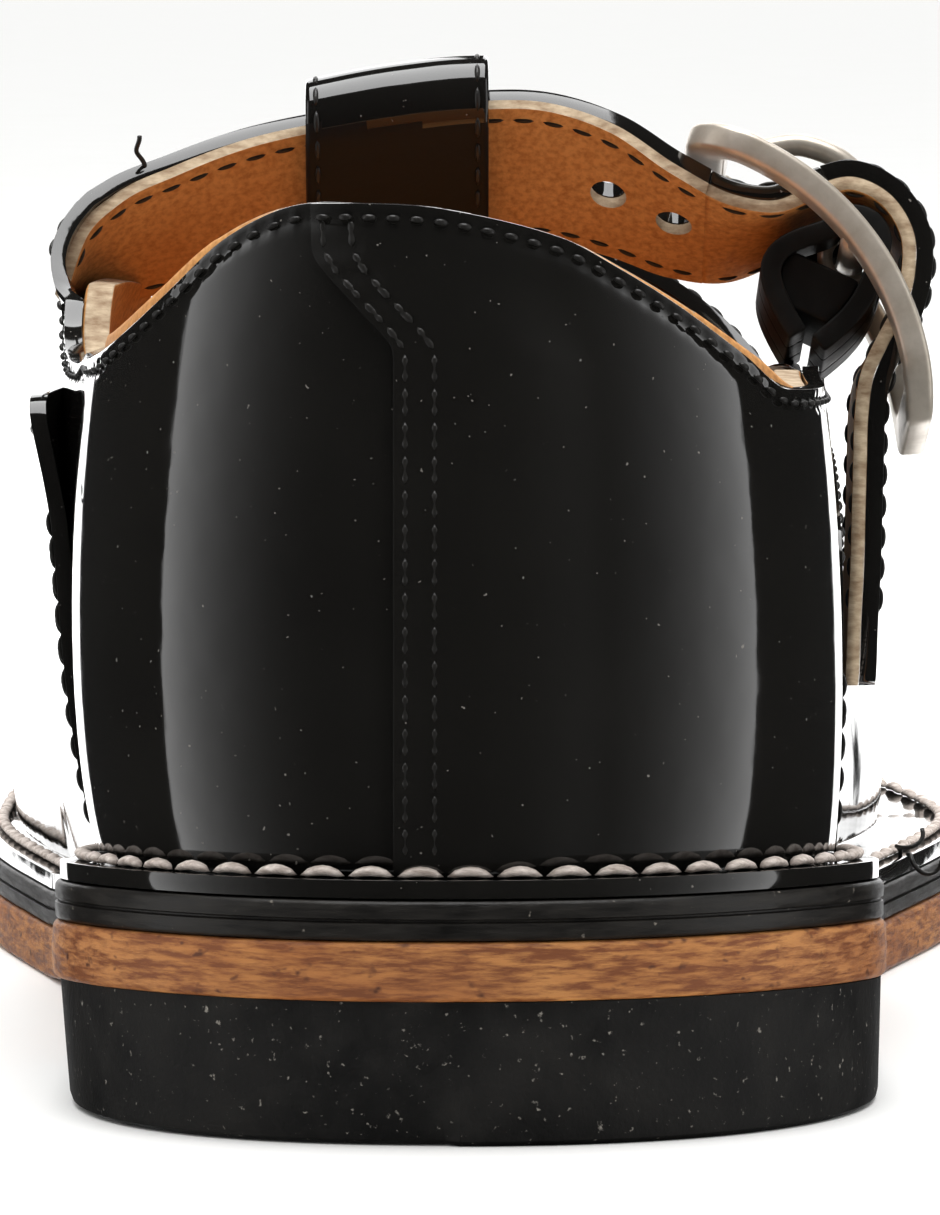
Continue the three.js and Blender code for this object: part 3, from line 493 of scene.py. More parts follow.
def shell(name, outer, inner, material, body="shoe", edge=EDGE_ROUND, rim_material=None):
    """Closed sheet between two equal grids, the outer one first, its cut edges rounded and,
    if asked, of another material."""
    rows, columns = outer.shape[:2]
    far = rows * columns
    faces = [grid_faces(rows, columns), grid_faces(rows, columns)[:, ::-1] + far]
    i, j = np.arange(rows - 1), np.arange(columns - 1)
    for k, turn in ((0, 1), (columns - 1, -1)):
        a, b = i * columns + k, (i + 1) * columns + k
        faces.append(np.stack([a, a + far, b + far, b], axis=1)[:, ::turn])
    for k, turn in ((0, -1), (rows - 1, 1)):
        a, b = k * columns + j, k * columns + j + 1
        faces.append(np.stack([a, a + far, b + far, b], axis=1)[:, ::turn])
    points = np.concatenate([outer.reshape(-1, 3), inner.reshape(-1, 3)])
    piece = new_piece(name, points, np.concatenate(faces), material, body)
    if rim_material:
        piece.data.materials.append(rim_material)
        sheets = 2 * (rows - 1) * (columns - 1)
        kinds = (np.arange(len(piece.data.polygons)) >= sheets).astype(np.int32)
        piece.data.polygons.foreach_set("material_index", kinds)
    clean(piece, recalculate=True)
    return round_edges(piece, edge) if edge else piece


FLANGE_ROWS = 14
FINE = 190


def wall_grid(w, top, offset, rows, flange=LEATHER_WALL, foot=True):
    """Grid over the last from the edge of the flange up to the topline. w is the place of
    each column, or of each fine sample of each column; top is where each column ends."""
    w = np.asarray(w, float)
    share = np.linspace(0, 1, FINE)
    w_fine = w if w.ndim == 2 else np.repeat(w[:, None], FINE, axis=1)
    offset = np.broadcast_to(np.asarray(offset, float).reshape(-1, 1) if np.ndim(offset) == 1
                             else offset, w_fine.shape)
    lines = last(w_fine, share[None, :] * top[:, None], offset)
    if not foot:
        return resample(lines, rows)
    base = lines[:, 0, :].copy()
    level = feather(base[:, 1]) + LAYER_GAP + flange
    low = lines[..., 2] < level[:, None] + 0.02
    lines = np.where(low[..., None], np.concatenate([base[:, :2], level[:, None]], axis=1)[:, None, :], lines)
    u, side = np.abs(w_fine[:, 0]), np.where(w_fine[:, 0] < 0, -1, 1)
    edge = np.zeros((len(u), 2))
    for s in (-1, 1):
        here = side == s
        edge[here] = rim(s, u[here]) - 0.5 * rim_normal(s, u[here])
    out = np.concatenate([edge, (feather(edge[:, 1]) + LAYER_GAP + flange)[:, None]], axis=1)
    t = np.linspace(0, 1, FLANGE_ROWS)[:-1]
    shelf = out[:, None, :] + (lines[:, 0] - out)[:, None, :] * t[None, :, None]
    lines = resample(np.concatenate([shelf, lines], axis=1), 260)
    return resample(soften(lines, 8), rows)


def columns_between(y_from, y_to, count, side):
    """Places of columns on one side, evenly spaced by length between two y values."""
    u = even_stations(count, station_of(y_from), station_of(y_to))
    return side * u


# ------------------------------------------------------------------ colours and nodes

def srgb(text):
    """A hex colour as Blender's linear RGBA."""
    value = [int(text[k:k + 2], 16) / 255 for k in (0, 2, 4)]
    return tuple(v / 12.92 if v <= 0.04045 else ((v + 0.055) / 1.055) ** 2.4 for v in value) + (1.0,)


COLOURS = {
    "patent": ("Patent leather", "Black lacquer of quarters, vamp and strap", "12110f"),
    "glazed": ("Glazed leather", "Hidden leg of the T-bar and the chape", "100f0e"),
    "lining": ("Lining leather", "Tan lining of quarters and strap", "b5713a"),
    "raw_edge": ("Raw edge", "Cut edge of the lining", "b9a183"),
    "sole": ("Sole leather", "Trimmed edge of the outsole", "b0683a"),
    "welt": ("Dyed edge", "Black edge of the midsole", "1b1916"),
    "rubber": ("Heel rubber", "Heel block", "1c1b19"),
    "nickel": ("Nickel plate", "Buckle, bar and prong", "cbbfae"),
    "welt_thread": ("Welt thread", "Linen thread round the sole", "c3b2a6"),
    "black_thread": ("Black thread", "Thread of the upper", "171614"),
    "board": ("Fibre board", "Insole board and stiffeners", "a58660"),
    "steel": ("Nail steel", "Heel nails", "8c8e90"),
}


def tint(name, accent=None):
    """A finish's colour as the panel has it, or an accent of it: the accent's own colour moved,
    channel by channel, by the factor that the panel's colour was moved from its default."""
    usual = np.array(srgb(COLOURS[name][2])[:3])
    chosen = np.array(getattr(bpy.context.scene.shoe_colours, name))
    base = np.array(srgb(accent)[:3]) if accent else usual
    return tuple(np.clip(base * chosen / usual, 0, 1).tolist()) + (1.0,)


class Shader:
    """A material under construction, with short words for adding and joining nodes."""

    def __init__(self, name, colour, roughness, metallic=0.0):
        self.material = bpy.data.materials.new(name)
        self.material.use_nodes = True
        self.tree = self.material.node_tree
        self.tree.nodes.clear()
        self.surface = self.add("ShaderNodeBsdfPrincipled")
        self.surface.inputs["Base Color"].default_value = colour
        self.surface.inputs["Roughness"].default_value = roughness
        self.surface.inputs["Metallic"].default_value = metallic
        output = self.add("ShaderNodeOutputMaterial")
        self.join(self.surface, "BSDF", output, "Surface")
        self.place = self.add("ShaderNodeTexCoord")

    def add(self, kind, **settings):
        node = self.tree.nodes.new(kind)
        for key, value in settings.items():
            if key in node.inputs:
                node.inputs[key].default_value = value
            else:
                setattr(node, key, value)
        return node

    def join(self, a, output, b, socket):
        self.tree.links.new(a.outputs[output], b.inputs[socket])

    def noise(self, size_mm, detail=3.0, roughness=0.55, stretch=(1, 1, 1)):
        """Noise whose features are about size_mm across, stretched along the axes."""
        mapping = self.add("ShaderNodeMapping")
        mapping.inputs["Scale"].default_value = tuple(1 / s for s in stretch)
        self.join(self.place, "Object", mapping, "Vector")
        node = self.add("ShaderNodeTexNoise", Scale=1000 / size_mm, Detail=detail, Roughness=roughness)
        self.join(mapping, "Vector", node, "Vector")
        return node

    def ramp(self, source, output, low, high, dark="000000", light="ffffff"):
        node = self.add("ShaderNodeValToRGB")
        node.color_ramp.elements[0].position = low
        node.color_ramp.elements[1].position = high
        node.color_ramp.elements[0].color = srgb(dark)
        node.color_ramp.elements[1].color = srgb(light)
        self.join(source, output, node, "Fac")
        return node

    def blend(self, factor, output, a, b):
        """Mix of two colours, each an RGBA colour or a pair of node and output."""
        node = self.add("ShaderNodeMix", data_type="RGBA")
        self.join(factor, output, node, 0)
        for socket, value in ((6, a), (7, b)):
            if len(value) == 4:
                node.inputs[socket].default_value = value
            else:
                self.join(value[0], value[1], node, socket)
        return node

    def span(self, source, output, low, high):
        node = self.add("ShaderNodeMapRange")
        node.inputs["To Min"].default_value = low
        node.inputs["To Max"].default_value = high
        self.join(source, output, node, "Value")
        return node

    def bump(self, source, output, depth_mm, strength=1.0):
        """Bump of a height in millimetres, stacked on the one before it."""
        node = self.add("ShaderNodeBump", Distance=depth_mm / 1000, Strength=strength)
        self.join(source, output, node, "Height")
        if hasattr(self, "last_bump"):
            self.join(self.last_bump, "Normal", node, "Normal")
        self.last_bump = node
        self.tree.links.new(node.outputs["Normal"], self.surface.inputs["Normal"])
        return node


def black_patent():
    """Black patent leather: the lacquer mirrors the room in hard shapes, its slow unevenness
    bends their edges, and lint on it shows as pale specks."""
    m = Shader("black_patent_leather", tint("patent"), 0.06)
    lint = m.noise(0.34, 1.0, 0.4)
    specks = m.ramp(lint, "Fac", 0.775, 0.80)
    haze = m.noise(16, 3.0)
    tone = m.blend(haze, "Fac", tint("patent", "0d0c0b"), tint("patent", "1b1a18"))
    colour = m.blend(specks, "Color", (tone, 2), srgb("6f6b65"))
    m.join(colour, 2, m.surface, "Base Color")
    dull = m.span(haze, "Fac", 0.03, 0.11)
    rough = m.add("ShaderNodeMath", operation="MAXIMUM")
    m.join(dull, "Result", rough, 0)
    half = m.span(specks, "Color", 0.0, 0.7)
    m.join(half, "Result", rough, 1)
    m.join(rough, "Value", m.surface, "Roughness")
    m.bump(m.noise(7.0, 2.0), "Fac", 0.10)
    m.bump(m.noise(1.6, 2.0), "Fac", 0.006)
    m.surface.inputs["Coat Weight"].default_value = 0.6
    m.surface.inputs["Coat Roughness"].default_value = 0.03
    return m.material


def glazed_leather():
    """Glazed black leather of the T-bar's hidden leg: duller than patent, with an open grain."""
    m = Shader("black_glazed_leather", tint("glazed"), 0.5)
    grain = m.noise(0.8, 4.0)
    tone = m.blend(grain, "Fac", tint("glazed", "0b0a0a"), tint("glazed", "191816"))
    m.join(tone, 2, m.surface, "Base Color")
    m.join(m.span(grain, "Fac", 0.45, 0.62), "Result", m.surface, "Roughness")
    m.surface.inputs["Specular IOR Level"].default_value = 0.25
    m.bump(grain, "Fac", 0.05)
    return m.material


def tan_lining():
    """Tan lining leather: matte, with a fine pore grain and a faint mottle from wear."""
    m = Shader("tan_lining_leather", tint("lining"), 0.72)
    mottle = m.noise(9, 4.0)
    pores = m.noise(0.5, 3.0)
    tone = m.blend(mottle, "Fac", tint("lining", "c4803c"), tint("lining", "e2a864"))
    fine = m.ramp(pores, "Fac", 0.3, 0.62)
    colour = m.blend(fine, "Color", tint("lining", "b07236"), (tone, 2))
    m.join(colour, 2, m.surface, "Base Color")
    m.join(m.span(pores, "Fac", 0.6, 0.85), "Result", m.surface, "Roughness")
    m.bump(pores, "Fac", 0.06)
    m.bump(m.noise(3.5), "Fac", 0.12)
    return m.material


def raw_edge():
    """Cut edge of lining leather: pale, open fibres that scatter the light."""
    m = Shader("raw_leather_edge", tint("raw_edge"), 0.9)
    fibre = m.noise(0.6, 4.0, 0.6, (2.5, 2.5, 1))
    colour = m.blend(m.ramp(fibre, "Fac", 0.3, 0.7), "Color", tint("raw_edge", "8d7358"),
                     tint("raw_edge", "cdb99c"))
    m.join(colour, 2, m.surface, "Base Color")
    m.bump(fibre, "Fac", 0.12)
    return m.material


def sole_leather():
    """Trimmed edge of vegetable-tanned sole leather: layered fibres run along the edge, paler
    where they are crushed at the corners, with a waxed satin gloss."""
    m = Shader("sole_leather_edge", tint("sole"), 0.55)
    strands = m.noise(0.45, 5.0, 0.65, (7, 7, 1))
    patches = m.noise(8, 4.0, 0.6, (2, 2, 1))
    pits = m.noise(0.9, 2.0, 0.5, (1.6, 1.6, 1))
    tone = m.blend(m.ramp(patches, "Fac", 0.3, 0.7), "Color", tint("sole", "9c5926"), tint("sole", "c48748"))
    grain = m.blend(m.ramp(strands, "Fac", 0.4, 0.6), "Color", tint("sole", "7c431b"), (tone, 2))
    colour = m.blend(m.ramp(pits, "Fac", 0.64, 0.74), "Color", (grain, 2), tint("sole", "5e3116"))
    m.join(colour, 2, m.surface, "Base Color")
    m.join(m.span(strands, "Fac", 0.42, 0.72), "Result", m.surface, "Roughness")
    m.bump(strands, "Fac", 0.16)
    m.bump(pits, "Fac", 0.10)
    return m.material


def welt_edge():
    """Edge of the black-dyed midsole: burnished above, its fibres open and dry below."""
    m = Shader("black_dyed_edge", tint("welt"), 0.42)
    strands = m.noise(0.5, 5.0, 0.6, (6, 6, 1))
    dust = m.noise(0.7, 2.0)
    tone = m.blend(m.ramp(strands, "Fac", 0.3, 0.75), "Color", tint("welt", "141210"), tint("welt", "2c2823"))
    colour = m.blend(m.ramp(dust, "Fac", 0.70, 0.78), "Color", (tone, 2), srgb("7d766c"))
    m.join(colour, 2, m.surface, "Base Color")
    m.join(m.span(strands, "Fac", 0.3, 0.62), "Result", m.surface, "Roughness")
    m.bump(strands, "Fac", 0.10)
    return m.material


def heel_rubber():
    """Black rubber: dull, with a moulded grain and grey grit trodden into it."""
    m = Shader("black_heel_rubber", tint("rubber"), 0.78)
    grit = m.noise(0.5, 3.0)
    scuff = m.noise(6, 5.0, 0.65)
    tone = m.blend(m.ramp(scuff, "Fac", 0.35, 0.75), "Color", tint("rubber", "11100f"),
                   tint("rubber", "24221f"))
    colour = m.blend(m.ramp(grit, "Fac", 0.66, 0.76), "Color", (tone, 2), srgb("8a857c"))
    m.join(colour, 2, m.surface, "Base Color")
    m.join(m.span(scuff, "Fac", 0.62, 0.9), "Result", m.surface, "Roughness")
    m.bump(grit, "Fac", 0.07)
    return m.material


def satin_nickel():
    """Nickel plate with a warm cast: soft wide highlights, broken by fine wear."""
    m = Shader("satin_nickel_plate", tint("nickel"), 0.34, 0.62)
    wear = m.noise(3, 5.0, 0.6)
    fine = m.noise(0.35, 2.0)
    colour = m.blend(m.ramp(wear, "Fac", 0.4, 0.8), "Color", tint("nickel", "ddd3c5"),
                     tint("nickel", "b8ac9b"))
    m.join(colour, 2, m.surface, "Base Color")
    m.join(m.span(wear, "Fac", 0.28, 0.46), "Result", m.surface, "Roughness")
    m.bump(fine, "Fac", 0.006)
    return m.material


def linen_thread():
    """Waxed linen thread of the welt: pale, twisted, with a dry sheen."""
    m = Shader("waxed_linen_thread", tint("welt_thread"), 0.62)
    twist = m.noise(0.4, 3.0, 0.6, (3, 1, 1))
    colour = m.blend(m.ramp(twist, "Fac", 0.3, 0.7), "Color", tint("welt_thread", "a39388"),
                     tint("welt_thread", "efe3da"))
    m.join(colour, 2, m.surface, "Base Color")
    m.bump(twist, "Fac", 0.09)
    return m.material


def black_thread():
    """Black waxed thread: each stitch catches a small soft light."""
    m = Shader("black_waxed_thread", tint("black_thread"), 0.38)
    twist = m.noise(0.3, 3.0)
    colour = m.blend(twist, "Fac", tint("black_thread", "0e0d0c"), tint("black_thread", "2b2926"))
    m.join(colour, 2, m.surface, "Base Color")
    m.bump(twist, "Fac", 0.05)
    return m.material


def fibre_board():
    """Insole board and stiffeners: pressed fibre, dry and slightly flecked."""
    m = Shader("pressed_fibre_board", tint("board"), 0.9)
    fleck = m.noise(0.8, 4.0)
    colour = m.blend(m.ramp(fleck, "Fac", 0.35, 0.7), "Color", tint("board", "8d6f4c"),
                     tint("board", "b99b74"))
    m.join(colour, 2, m.surface, "Base Color")
    m.bump(fleck, "Fac", 0.05)
    return m.material


def nail_steel():
    """Plain steel of the heel nails, dulled by use."""
    m = Shader("dull_nail_steel", tint("steel"), 0.42, 1.0)
    wear = m.noise(1.2, 4.0)
    colour = m.blend(wear, "Fac", tint("steel", "77797b"), tint("steel", "a2a4a6"))
    m.join(colour, 2, m.surface, "Base Color")
    m.join(m.span(wear, "Fac", 0.3, 0.6), "Result", m.surface, "Roughness")
    return m.material


MAKERS = {
    "black_patent_leather": black_patent, "black_glazed_leather": glazed_leather,
    "tan_lining_leather": tan_lining, "raw_leather_edge": raw_edge,
    "sole_leather_edge": sole_leather, "black_dyed_edge": welt_edge, "black_heel_rubber": heel_rubber,
    "satin_nickel_plate": satin_nickel, "waxed_linen_thread": linen_thread,
    "black_waxed_thread": black_thread, "pressed_fibre_board": fibre_board, "dull_nail_steel": nail_steel,
}


def material(name):
    """The material of that name, made the first time it is asked for."""
    return bpy.data.materials.get(name) or MAKERS[name]()


# ------------------------------------------------------------------ bottom of the shoe

def rim_ring(inset, height, count=170):
    """Closed ring round the sole: out along the lateral side from heel to toe and back along
    the medial."""
    u = even_stations(count)
    rings = []
    for side, order in ((1, slice(None)), (-1, slice(None, None, -1))):
        flat = rim(side, u) - rim_normal(side, u) * inset
        p = np.concatenate([flat, height(flat[:, 1])[:, None]], axis=1)
        rings.append(p[order])
    return np.concatenate([rings[0], rings[1][1:-1]])


def ringed(name, profile, material_name, count=170):
    """A layer of the sole: rings of one profile, bottom to top, with both faces closed by
    strips from side to side."""
    rings = np.stack([rim_ring(inset, height, count) for inset, height in profile])
    levels, around = rings.shape[:2]
    faces = [tuple(f) for f in grid_faces(levels, around, False, True)[:, ::-1]]
    for level in (0, levels - 1):
        start = level * around
        faces.append((start, start + 1, start + around - 1))
        for k in range(1, count - 2):
            faces.append((start + k, start + k + 1, start + around - k - 1, start + around - k))
        faces.append((start + count - 2, start + count - 1, start + count))
    piece = new_piece(name, rings.reshape(-1, 3), faces, material(material_name))
    return mark_corners(clean(piece, recalculate=True), 60)


def build_outsole():
    """Outsole: the rim's outline between the ground line and the midsole, its trimmed edge a
    shallow arch with both corners rounded by an arc."""
    turn = np.linspace(0, np.pi / 2, 5)
    corner = 0.55
    low = [(corner * (1 - np.sin(a)),
            lambda y, a=a: outsole_bottom(y) + corner * (1 - np.cos(a))) for a in turn]
    middle = [(-0.06, lambda y: outsole_bottom(y) + OUTSOLE_WALL / 2)]
    high = [(corner * (1 - np.sin(a)),
             lambda y, a=a: outsole_bottom(y) + OUTSOLE_WALL - corner * (1 - np.cos(a))) for a in turn[::-1]]
    piece = ringed("outsole_leather", low + middle + high, "sole_leather_edge")
    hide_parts("outsole")


def build_midsole():
    """Midsole: the rim's outline set in by 0.25 mm, with a scored groove above its middle and
    its lower half left rough."""
    def at(share):
        return lambda y: outsole_bottom(y) + OUTSOLE_WALL + 0.03 + (MIDSOLE_WALL + LAYER_GAP) * share
    profile = [(0.6, at(0)), (0.3, at(0.02)), (0.18, at(0.10)), (0.16, at(0.3)), (0.18, at(0.44)),
               (0.42, at(0.48)), (0.42, at(0.52)), (0.18, at(0.56)), (0.14, at(0.72)), (0.18, at(0.9)),
               (0.34, at(0.98)), (0.6, at(1.0))]
    piece = ringed("midsole_black", profile, "black_dyed_edge")
    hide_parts("midsole")


def build_heel():
    """Heel block: the rim's outline behind the breast, leaning in a little more on the medial
    side than on the lateral, and a breast hollowed forwards as a parabola."""
    u_end = float(station_of(HEEL_LENGTH + 1.2))
    u = even_stations(70, 0.0, u_end)
    levels = [(0.0, 1.7, 0.5), (0.35, 1.25, 0.08), (0.8, 1.15, 0.0), (4.0, 0.8, 0.0), (None, 0.35, 0.0)]
    rings = []
    for height, medial_taper, extra in levels:
        sides = []
        for side in (-1, 1):
            inset = 0.25 + extra + (medial_taper * 0.75 if side < 0 else medial_taper * 0.22)
            flat = rim(side, u) - rim_normal(side, u) * inset
            sides.append(flat)
        outline = np.concatenate([sides[0][::-1], sides[1][1:]])
        a, b = outline[-1], outline[0]
        t = np.linspace(0, 1, 40)[1:-1, None]
        breast = a + (b - a) * t - np.array([0, 4 * 5.0]) * t * (1 - t) * np.array([1, 1])
        outline = np.concatenate([outline, breast])
        z = outsole_bottom(outline[:, 1]) - 0.02 if height is None else np.full(len(outline), height)
        rings.append(np.concatenate([outline, z[:, None]], axis=1))
    rings = np.stack(rings)
    levels_made, around = rings.shape[:2]
    faces = [tuple(f) for f in grid_faces(levels_made, around, False, True)]
    faces.append(tuple(range(around))[::-1])
    faces.append(tuple((levels_made - 1) * around + k for k in range(around)))
    piece = new_piece("heel_block_rubber", rings.reshape(-1, 3), faces, material("black_heel_rubber"))
    mark_corners(clean(piece, recalculate=True), 30)
    for k, (x, y) in enumerate(NAIL_PLACES):
        angle = np.arange(24) / 24 * 2 * np.pi
        ring = np.array([x, y]) + NAIL_WELL_RADIUS * np.stack([np.cos(angle), np.sin(angle)], axis=1)
        low = np.concatenate([ring, np.full((24, 1), -1.0)], axis=1)
        high = np.concatenate([ring, np.full((24, 1), NAIL_WELL_TOP)], axis=1)
        sides = [tuple(f) for f in grid_faces(2, 24, False, True)]
        cutter = new_piece(f"nail_well_{k + 1}", np.concatenate([low, high]),
                           sides + [tuple(range(24))[::-1], tuple(range(24, 48))],
                           material("black_heel_rubber"), None)
        cut(piece, clean(cutter, recalculate=True))
    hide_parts("heel_block")


def build_welt_thread():
    """Stitches that hold flange, midsole and sole: one short thread per pitch of the rim, each
    rising out of its hole and back into the next."""
    ring = rim_ring(1.9, lambda y: feather(y) + LAYER_GAP + LEATHER_WALL + 0.12, 400)
    ring = np.concatenate([ring, ring[:1]])
    up = np.zeros_like(ring)
    up[:, 2] = 1
    starts, ends, normals = stitch_row(ring, up, panel_mm("welt_pitch"), 0.94)
    piece = capsules("welt_stitches", starts, ends, normals, panel_mm("welt_radius"), 0.34,
                     material("waxed_linen_thread"), flat=0.7)
    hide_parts("welt_thread")


# ------------------------------------------------------------------ upper

FRONT_AT = 99.0
LAP = 1.05


def upper_tops(w, offset):
    return crossing(w, above_topline, offset[:, None] if np.ndim(offset) else offset)


def strap_frame(count):
    """The strap's middle line over the instep and the buckle's bar, resampled: points, the
    direction across it and the direction out of it."""
    path = [[-29.2, 72.4, 50.7, 1], [-28.6, 72.5, 52.7, 10], [-27.4, 72.8, 54.4, 24],
            [-24.8, 73.6, 55.8, 36], [-20.6, 74.3, 57.2, 43], [-15.5, 74.8, 58.7, 48], [-10, 75, 59.8, 50],
            [-4.6, 75, 60.7, 50], [1, 75, 61.3, 50], [6, 75, 61.2, 50], [11, 75.1, 59.8, 47],
            [15.5, 75.4, 57.6, 38], [19.5, 75.6, 56.5, 28], [22.2, 75.7, 56.9, 20], [24.9, 75.9, 58.4, 15],
            [27.9, 76, 59.2, 14], [30.6, 75.8, 58.0, 13], [32.2, 75.2, 55.6, 11], [32.3, 74.6, 53.0, 10],
            [31.6, 74, 50.4, 8], [30.2, 73.5, 47.8, 7], [29.3, 73.1, 46, 5], [28.9, 72.6, 43.6, 2],
            [28.8, 72.4, 40.8, 0], [28.7, 72.3, 37, 0], [28.6, 72.2, 33, 0], [28.4, 72.2, 28.6, 0],
            [28.4, 72.2, 24.2, 0]]
    line = along(path, count)
    tilt = np.radians(line[:, 3])
    across = np.stack([np.zeros(count), np.cos(tilt), -np.sin(tilt)], axis=1)
    forward = unit(np.gradient(line[:, :3], axis=0))
    out = unit(np.cross(forward, across))
    return line[:, :3], across, out


BRIDGE_X = 17.4
SPLIT_X = 25.6
STRAP_ROWS = 260


def strap_parts():
    """The strap's rows, with the row under the buckle's medial end, where the bridge starts,
    and the row past the bar, where the free end starts."""
    middle, across, out = strap_frame(STRAP_ROWS)
    bridge, end = (int(np.argmax(middle[:, 0] > x)) for x in (BRIDGE_X, SPLIT_X))
    return middle, across, out, bridge, end


def press_with_buckle(piece):
    """Bakes the piece's placement into its points."""
    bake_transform(piece)


def build_medial_quarter():
    """Medial quarter and instep strap, cut from one piece: the last's surface from the flange
    to the topline, then a ribbon along the strap's own line. The ribbon starts as wide as the
    quarter's shoulder and narrows as a falling exponential. The topline's stitches pull it in."""
    columns, rows = 230, 110
    y_front, y_a, y_b = FRONT_AT, 82.5, 61.0
    strap_columns = 34
    w = np.concatenate([
        columns_between(y_a, y_front, 24, -1)[::-1][:-1],
        columns_between(y_b, y_a, strap_columns, -1)[::-1],
        -even_stations(columns, 0.0, station_of(y_b))[::-1][1:-1],
        [0.002, 0.004, 0.006, 0.009]])
    top = upper_tops(w, UPPER_WALL)
    first = 23
    outer = wall_grid(w, top, UPPER_WALL, rows)
    inner = wall_grid(w, upper_tops(w, LEATHER_IN), LEATHER_IN, rows, 0.02)
    middle, across, out, k, _ = strap_parts()
    distance = np.concatenate([[0], np.cumsum(np.linalg.norm(np.diff(middle, axis=0), axis=1))])
    half = STRAP_WIDTH / 2
    shoulder = (np.linalg.norm(outer[first, -1] - outer[first + strap_columns - 1, -1])) / 2
    place = np.linspace(1, -1, strap_columns)
    ribbon_out, ribbon_in = [], []
    start = 4
    for i in range(start, k + 1):
        wide = half + (shoulder - half) * np.exp(-((distance[i]) / 3.2) ** 1.25)
        side = across[i][None, :] * (place * wide)[:, None]
        crown = 0.18 * (1 - place ** 2)[:, None] * out[i][None, :]
        ribbon_out.append(middle[i] + side + out[i] * 1.2 + crown)
        ribbon_in.append(middle[i] + side + crown * 0.5)
    ribbon_out, ribbon_in = np.stack(ribbon_out, axis=1), np.stack(ribbon_in, axis=1)
    a, b = first, first + strap_columns
    joined = np.concatenate([outer[a:b], ribbon_out], axis=1)
    joined_in = np.concatenate([inner[a:b], ribbon_in], axis=1)
    for grid in (joined, joined_in):
        window = grid[:, rows - 10:rows + 12]
        for _ in range(14):
            window[:, 1:-1] = window[:, 1:-1] / 2 + (window[:, :-2] + window[:, 2:]) / 4
    outer[a:b], inner[a:b] = joined[:, :rows], joined_in[:, :rows]
    ribbon_out, ribbon_in = joined[:, rows - 1:], joined_in[:, rows - 1:]

    edge_rear = stitch_points_below(outer[b - 1:], 0.95)
    holes = stitch_row(edge_rear[0], edge_rear[1], panel_mm("topline_pitch"), 0.66)
    outer = dimples(outer, grid_normals(outer), np.concatenate([holes[0], holes[1]]), 0.2, 0.4)
    outer[a:b, -1] = ribbon_out[:, 0]
    piece = joined_shells("quarter_medial_and_strap", (outer, inner), (ribbon_out, ribbon_in), a,
                          material("black_patent_leather"))
    punch(apply_modifiers(piece))
    press_with_buckle(piece)
    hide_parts("quarter_medial", "instep_strap")
    thread = capsules("topline_stitches_medial", *holes, panel_mm("stitch_radius"), 0.13,
                      material("black_waxed_thread"))
    rows_out = ribbon_out.shape[1]
    for name, column in (("strap_stitches_front", 2), ("strap_stitches_rear", -3)):
        line = ribbon_out[column, 3:rows_out - 2]
        normal = grid_normals(ribbon_out)[column, 3:rows_out - 2]
        s = stitch_row(line, normal, panel_mm("stitch_pitch"))
        press_with_buckle(capsules(name, *s, panel_mm("stitch_radius"), 0.14,
                                   material("black_waxed_thread"), body=None))


def stitch_points_below(grid, inset):
    """A line on a grid a fixed length below its last row, with its normals."""
    steps = np.linalg.norm(np.diff(grid, axis=1), axis=2)[:, ::-1]
    run = np.concatenate([np.zeros((len(grid), 1)), np.cumsum(steps, axis=1)], axis=1)
    normals = grid_normals(grid)[:, ::-1]
    flipped = grid[:, ::-1]
    line = np.array([[np.interp(inset, run[i], flipped[i, :, k]) for k in range(3)]
                     for i in range(len(grid))])
    up = np.array([[np.interp(inset, run[i], normals[i, :, k]) for k in range(3)] for i in range(len(grid))])
    return line, unit(up)


def joined_shells(name, first, second, column, leather):
    """Two closed sheets that share one row of points, made into a single closed mesh: the
    second grows from the top of the first, starting at one of its columns."""
    outer, inner = first
    c, r = outer.shape[:2]
    outer2, inner2 = second
    c2, r2 = outer2.shape[:2]
    points = [grid.reshape(-1, 3) for grid in (outer, inner, outer2[:, 1:], inner2[:, 1:])]
    base = np.cumsum([0] + [len(p) for p in points])

    def at(layer, i, j):
        return base[layer] + i * r + j

    def at2(layer, i, j):
        return np.where(j == 0, base[layer] + (column + i) * r + r - 1,
                        base[2 + layer] + i * (r2 - 1) + j - 1)
    faces = []

    def quads(f, count_i, count_j, turn):
        i, j = np.meshgrid(np.arange(count_i - 1), np.arange(count_j - 1), indexing="ij")
        q = np.stack([f(i, j), f(i + 1, j), f(i + 1, j + 1), f(i, j + 1)], axis=-1).reshape(-1, 4)
        faces.append(q[:, ::-1] if turn else q)
    for layer in (0, 1):
        quads(lambda i, j: at(layer, i, j), c, r, layer == 1)
        quads(lambda i, j: at2(layer, i, j), c2, r2, layer == 1)

    def wall_between(f, index, turn):
        a, b = index[:-1], index[1:]
        q = np.stack([f(0, a), f(1, a), f(1, b), f(0, b)], axis=-1)
        faces.append(q[:, ::-1] if turn else q)
    j, i = np.arange(r), np.arange(c)
    wall_between(lambda layer, k: at(layer, 0, k), j, False)
    wall_between(lambda layer, k: at(layer, c - 1, k), j, True)
    wall_between(lambda layer, k: at(layer, k, 0), i, True)
    wall_between(lambda layer, k: at(layer, k, r - 1), i[:column + 1], False)
    wall_between(lambda layer, k: at(layer, k, r - 1), i[column + c2 - 1:], False)
    j2, i2 = np.arange(r2), np.arange(c2)
    wall_between(lambda layer, k: at2(layer, 0 * k, k), j2, False)
    wall_between(lambda layer, k: at2(layer, 0 * k + c2 - 1, k), j2, True)
    wall_between(lambda layer, k: at2(layer, k, 0 * k + r2 - 1), i2, False)
    piece = new_piece(name, np.concatenate(points), np.concatenate(faces), leather, body=None)
    clean(piece, recalculate=True)
    round_edges(piece)
    return piece


